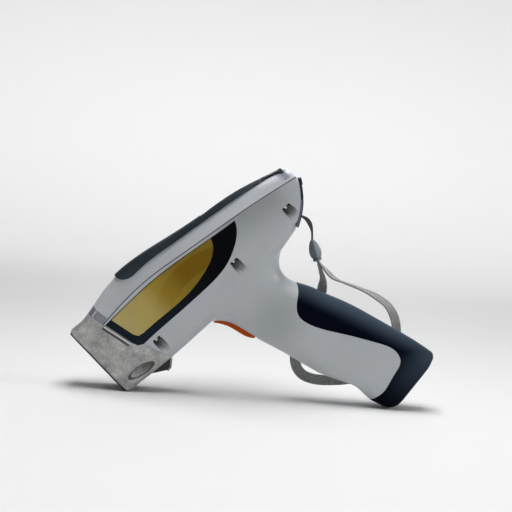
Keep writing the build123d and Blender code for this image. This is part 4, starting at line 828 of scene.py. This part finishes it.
# The trigger
# An orange lever moulded in hard plastic, which turns on a steel pin. It is polished by the
# finger where it is pulled.
orange_plastic = grained_plastic("orange_plastic", (0.36, 0.050, 0.0004), (0.45, 0.070, 0.0008),
                                 0.34, specular_ior_level=0.10)
paint_nodes(orange_plastic, "trigger")

# The display
# A satin plastic frame that tilts up from the cover on a hinge pin, round a liquid crystal
# panel under glass.
DISPLAY_MIDDLE_X = 0.1915
DISPLAY_HALF_HEIGHT = 0.0225
DISPLAY_HALF_WIDTH = 0.0258
DISPLAY_EDGE = 0.0003
PIXEL = 0.00036


def screen_glass():
    material, place = new_material("screen_glass", coat_weight=1.0, coat_roughness=0.03, ior=1.5)
    own = place.own_frame()
    x, y, _ = own.xyz()
    pixels = (x * (tau / PIXEL)).sine() * (y * (tau / PIXEL)).sine()
    smear = own.noise(45, 4.0, 0.6)
    inner = (x.within(DISPLAY_MIDDLE_X, DISPLAY_HALF_HEIGHT, DISPLAY_EDGE)
             * y.within(0.0, DISPLAY_HALF_WIDTH, DISPLAY_EDGE))
    panel = (pixels * 0.5 + 0.5).between((0.030, 0.036, 0.037), (0.040, 0.047, 0.048))
    base = inner.between((0.004, 0.004, 0.005), panel)
    return wire(material, base, smear * 0.12 + 0.05)


frame_plastic = grained_plastic("frame_plastic", (0.014, 0.019, 0.026), (0.024, 0.031, 0.040), 0.36)
paint_nodes(frame_plastic, "display_frame", "key_panel")
paint_nodes(screen_glass(), "display_screen")

# The keys
# Silicone rubber keys, coloured through, stand through the key panel on a small board: a red
# one for power, a blue one to enter and four grey arrows.
key_rubber = grained_plastic("key_rubber", (0.25, 0.27, 0.30), (0.31, 0.33, 0.36), 0.5)
enter_rubber = grained_plastic("enter_rubber", (0.035, 0.11, 0.21), (0.05, 0.14, 0.26), 0.5)
power_rubber = grained_plastic("power_rubber", (0.33, 0.022, 0.015), (0.42, 0.035, 0.022), 0.5)
paint_nodes(key_rubber, "up_key", "down_key", "left_key", "right_key")
paint_nodes(enter_rubber, "enter_key")
paint_nodes(power_rubber, "power_key")

# The circuit boards
# Glass-fibre boards with green solder mask over copper traces, and tinned pads. They are
# screwed to the chassis, and the key board under its panel.
BLACK, WHITE = (0, 0, 0, 1), (1, 1, 1, 1)


def circuit_board():
    material, place = new_material("circuit_board", coat_weight=0.4, coat_roughness=0.2)
    own = place.own_frame()
    traces = own.node("TexBrick", {"Vector": own.stretched(1, 1, 0.2), "Scale": 260.0,
                                   "Mortar Size": 0.03, "Color1": BLACK, "Color2": BLACK,
                                   "Mortar": WHITE})
    pads = own.cells(620).step(0.32, 0.25)
    weave = own.noise(900, 2.0)
    mask = weave.between((0.006, 0.055, 0.022), (0.012, 0.085, 0.035))
    traced = (traces * 0.55).between(mask, (0.03, 0.16, 0.07))
    base = (pads * 0.5).between(traced, (0.5, 0.5, 0.46))
    return wire(material, base, 0.35 + weave * 0.1, traces, 0.00004)


paint_nodes(circuit_board(), "key_board", "main_board", "processor_board")

# The rear trim and the port cover
# Two curved strips of dark rubber down the rear face. The lower one is fixed, holds the
# lanyard's pin and has a paler stripe in its edge; the upper one hinges over the sockets.
BOW_CENTRE = (0.193417, 0.027883)
BOW_RADIUS = 0.068
STRIPE_DEPTH = 0.0013
STRIPE_HALF = 0.00055


def trim_rubber():
    material, place = new_material("trim_rubber", coat_weight=0.1, coat_roughness=0.4)
    x, _, z = place.own_frame().xyz()
    depth = from_axis(x, z, BOW_CENTRE) - BOW_RADIUS
    stripe = depth.within(STRIPE_DEPTH, STRIPE_HALF, 0.0003)
    fine = place.noise(2800, 2.0)
    tone = fine.between((0.005, 0.009, 0.018), (0.009, 0.014, 0.026))
    base = (stripe * 0.9).between(tone, (0.13, 0.16, 0.23))
    return wire(material, base, fine * 0.15 + 0.42, fine, 0.00003)


cover_rubber = grained_plastic("cover_rubber", (0.007, 0.014, 0.027), (0.011, 0.020, 0.035), 0.42,
                               specular_ior_level=0.35)
paint_nodes(trim_rubber(), "rear_trim")
paint_nodes(cover_rubber, "port_cover")

# The studio
# The instrument stands on pale paper that curves up into a backdrop, under broad soft lamps
# from above and from both sides.
FLOOR_WHITE = (0.74, 0.74, 0.745)
FLOOR_SHADE = 0.985
FLOOR_HALF_WIDTH = 3.0
FLOOR_FRONT = -2.2
FLOOR_BACK = 1.6
BEND_RADIUS = 1.0
BEND_STEPS = 16
BACKDROP_HEIGHT = 3.2
LAMP_AIM = (0.0, 0.0, 0.12)


def make_floor():
    bm = bmesh.new()
    turns = [i * pi / 2 / BEND_STEPS for i in range(BEND_STEPS + 1)]
    bend = [(FLOOR_BACK + BEND_RADIUS * sin(a), BEND_RADIUS * (1 - cos(a))) for a in turns]
    outline = [(FLOOR_FRONT, 0.0), *bend, (FLOOR_BACK + BEND_RADIUS, BACKDROP_HEIGHT)]
    left = [bm.verts.new((-FLOOR_HALF_WIDTH, y, z)) for y, z in outline]
    edges = [bm.edges.new(pair) for pair in zip(left, left[1:])]
    made = bmesh.ops.extrude_edge_only(bm, edges=edges)["geom"]
    moved = [item for item in made if isinstance(item, bmesh.types.BMVert)]
    bmesh.ops.translate(bm, vec=(2 * FLOOR_HALF_WIDTH, 0, 0), verts=moved)
    for face in bm.faces:
        if face.normal.z < 0 or (abs(face.normal.z) < 0.1 and face.normal.y > 0):
            face.normal_flip()
    mesh = bpy.data.meshes.new("floor")
    bm.to_mesh(mesh)
    bm.free()
    floor = bpy.data.objects.new("floor", mesh)
    bpy.context.scene.collection.objects.link(floor)
    for face in mesh.polygons:
        face.use_smooth = True
    material, place = new_material("floor_paper", roughness=0.7, specular_ior_level=0.2)
    shaded = tuple(c * FLOOR_SHADE for c in FLOOR_WHITE)
    mesh.materials.append(wire(material, place.noise(3.0, 2.0).between(FLOOR_WHITE, shaded)))


def lamp(name, place, aim, width, height, watts, spread=pi):
    data = bpy.data.lights.new(name, "AREA")
    data.shape = "RECTANGLE"
    data.size = width
    data.size_y = height
    data.energy = watts
    data.spread = spread
    light = bpy.data.objects.new(name, data)
    bpy.context.scene.collection.objects.link(light)
    aimed = (Vector(aim) - Vector(place)).to_track_quat("-Z", "Y").to_matrix().to_4x4()
    light.matrix_world = Matrix.Translation(place) @ aimed


def make_world():
    """Bright behind the instrument and above it, dim on the camera's side."""
    world = bpy.data.worlds.new("studio")
    bpy.context.scene.world = world
    world.use_nodes = True
    tree = world.node_tree
    _, y, z = Paint(tree, tree.nodes.new("ShaderNodeTexCoord").outputs["Generated"]).xyz()
    light = (y * 0.6 + z * 0.5).step(-0.35, 0.6) * 0.06 + 0.05
    background = tree.nodes["Background"]
    background.inputs["Color"].default_value = WHITE
    tree.links.new(light.socket, background.inputs["Strength"])


make_floor()
lamp("overhead_softbox", (0.0, -0.05, 1.25), (0.0, -0.05, 0.0), 0.6, 1.3, 18)
lamp("front_softbox", (0.0, -1.15, 1.2), (0.0, -1.0, 0.0), 2.0, 0.3, 2.2, radians(84))
lamp("side_softbox", (1.4, -1.5, 0.35), LAMP_AIM, 0.9, 0.6, 2)
lamp("left_softbox", (-1.7, -1.4, 0.35), LAMP_AIM, 1.0, 0.6, 4)
lamp("right_softbox", (1.5, 0.0, 0.7), LAMP_AIM, 0.5, 0.8, 7)
lamp("rear_softbox", (0.25, 1.2, 0.9), LAMP_AIM, 1.0, 0.5, 2)
lamp("backdrop_softbox", (0.0, 2.0, 1.9), (0.0, 2.3, 0.3), 3.6, 0.4, 19.5, radians(100))
make_world()
bpy.context.scene.view_settings.view_transform = "Standard"
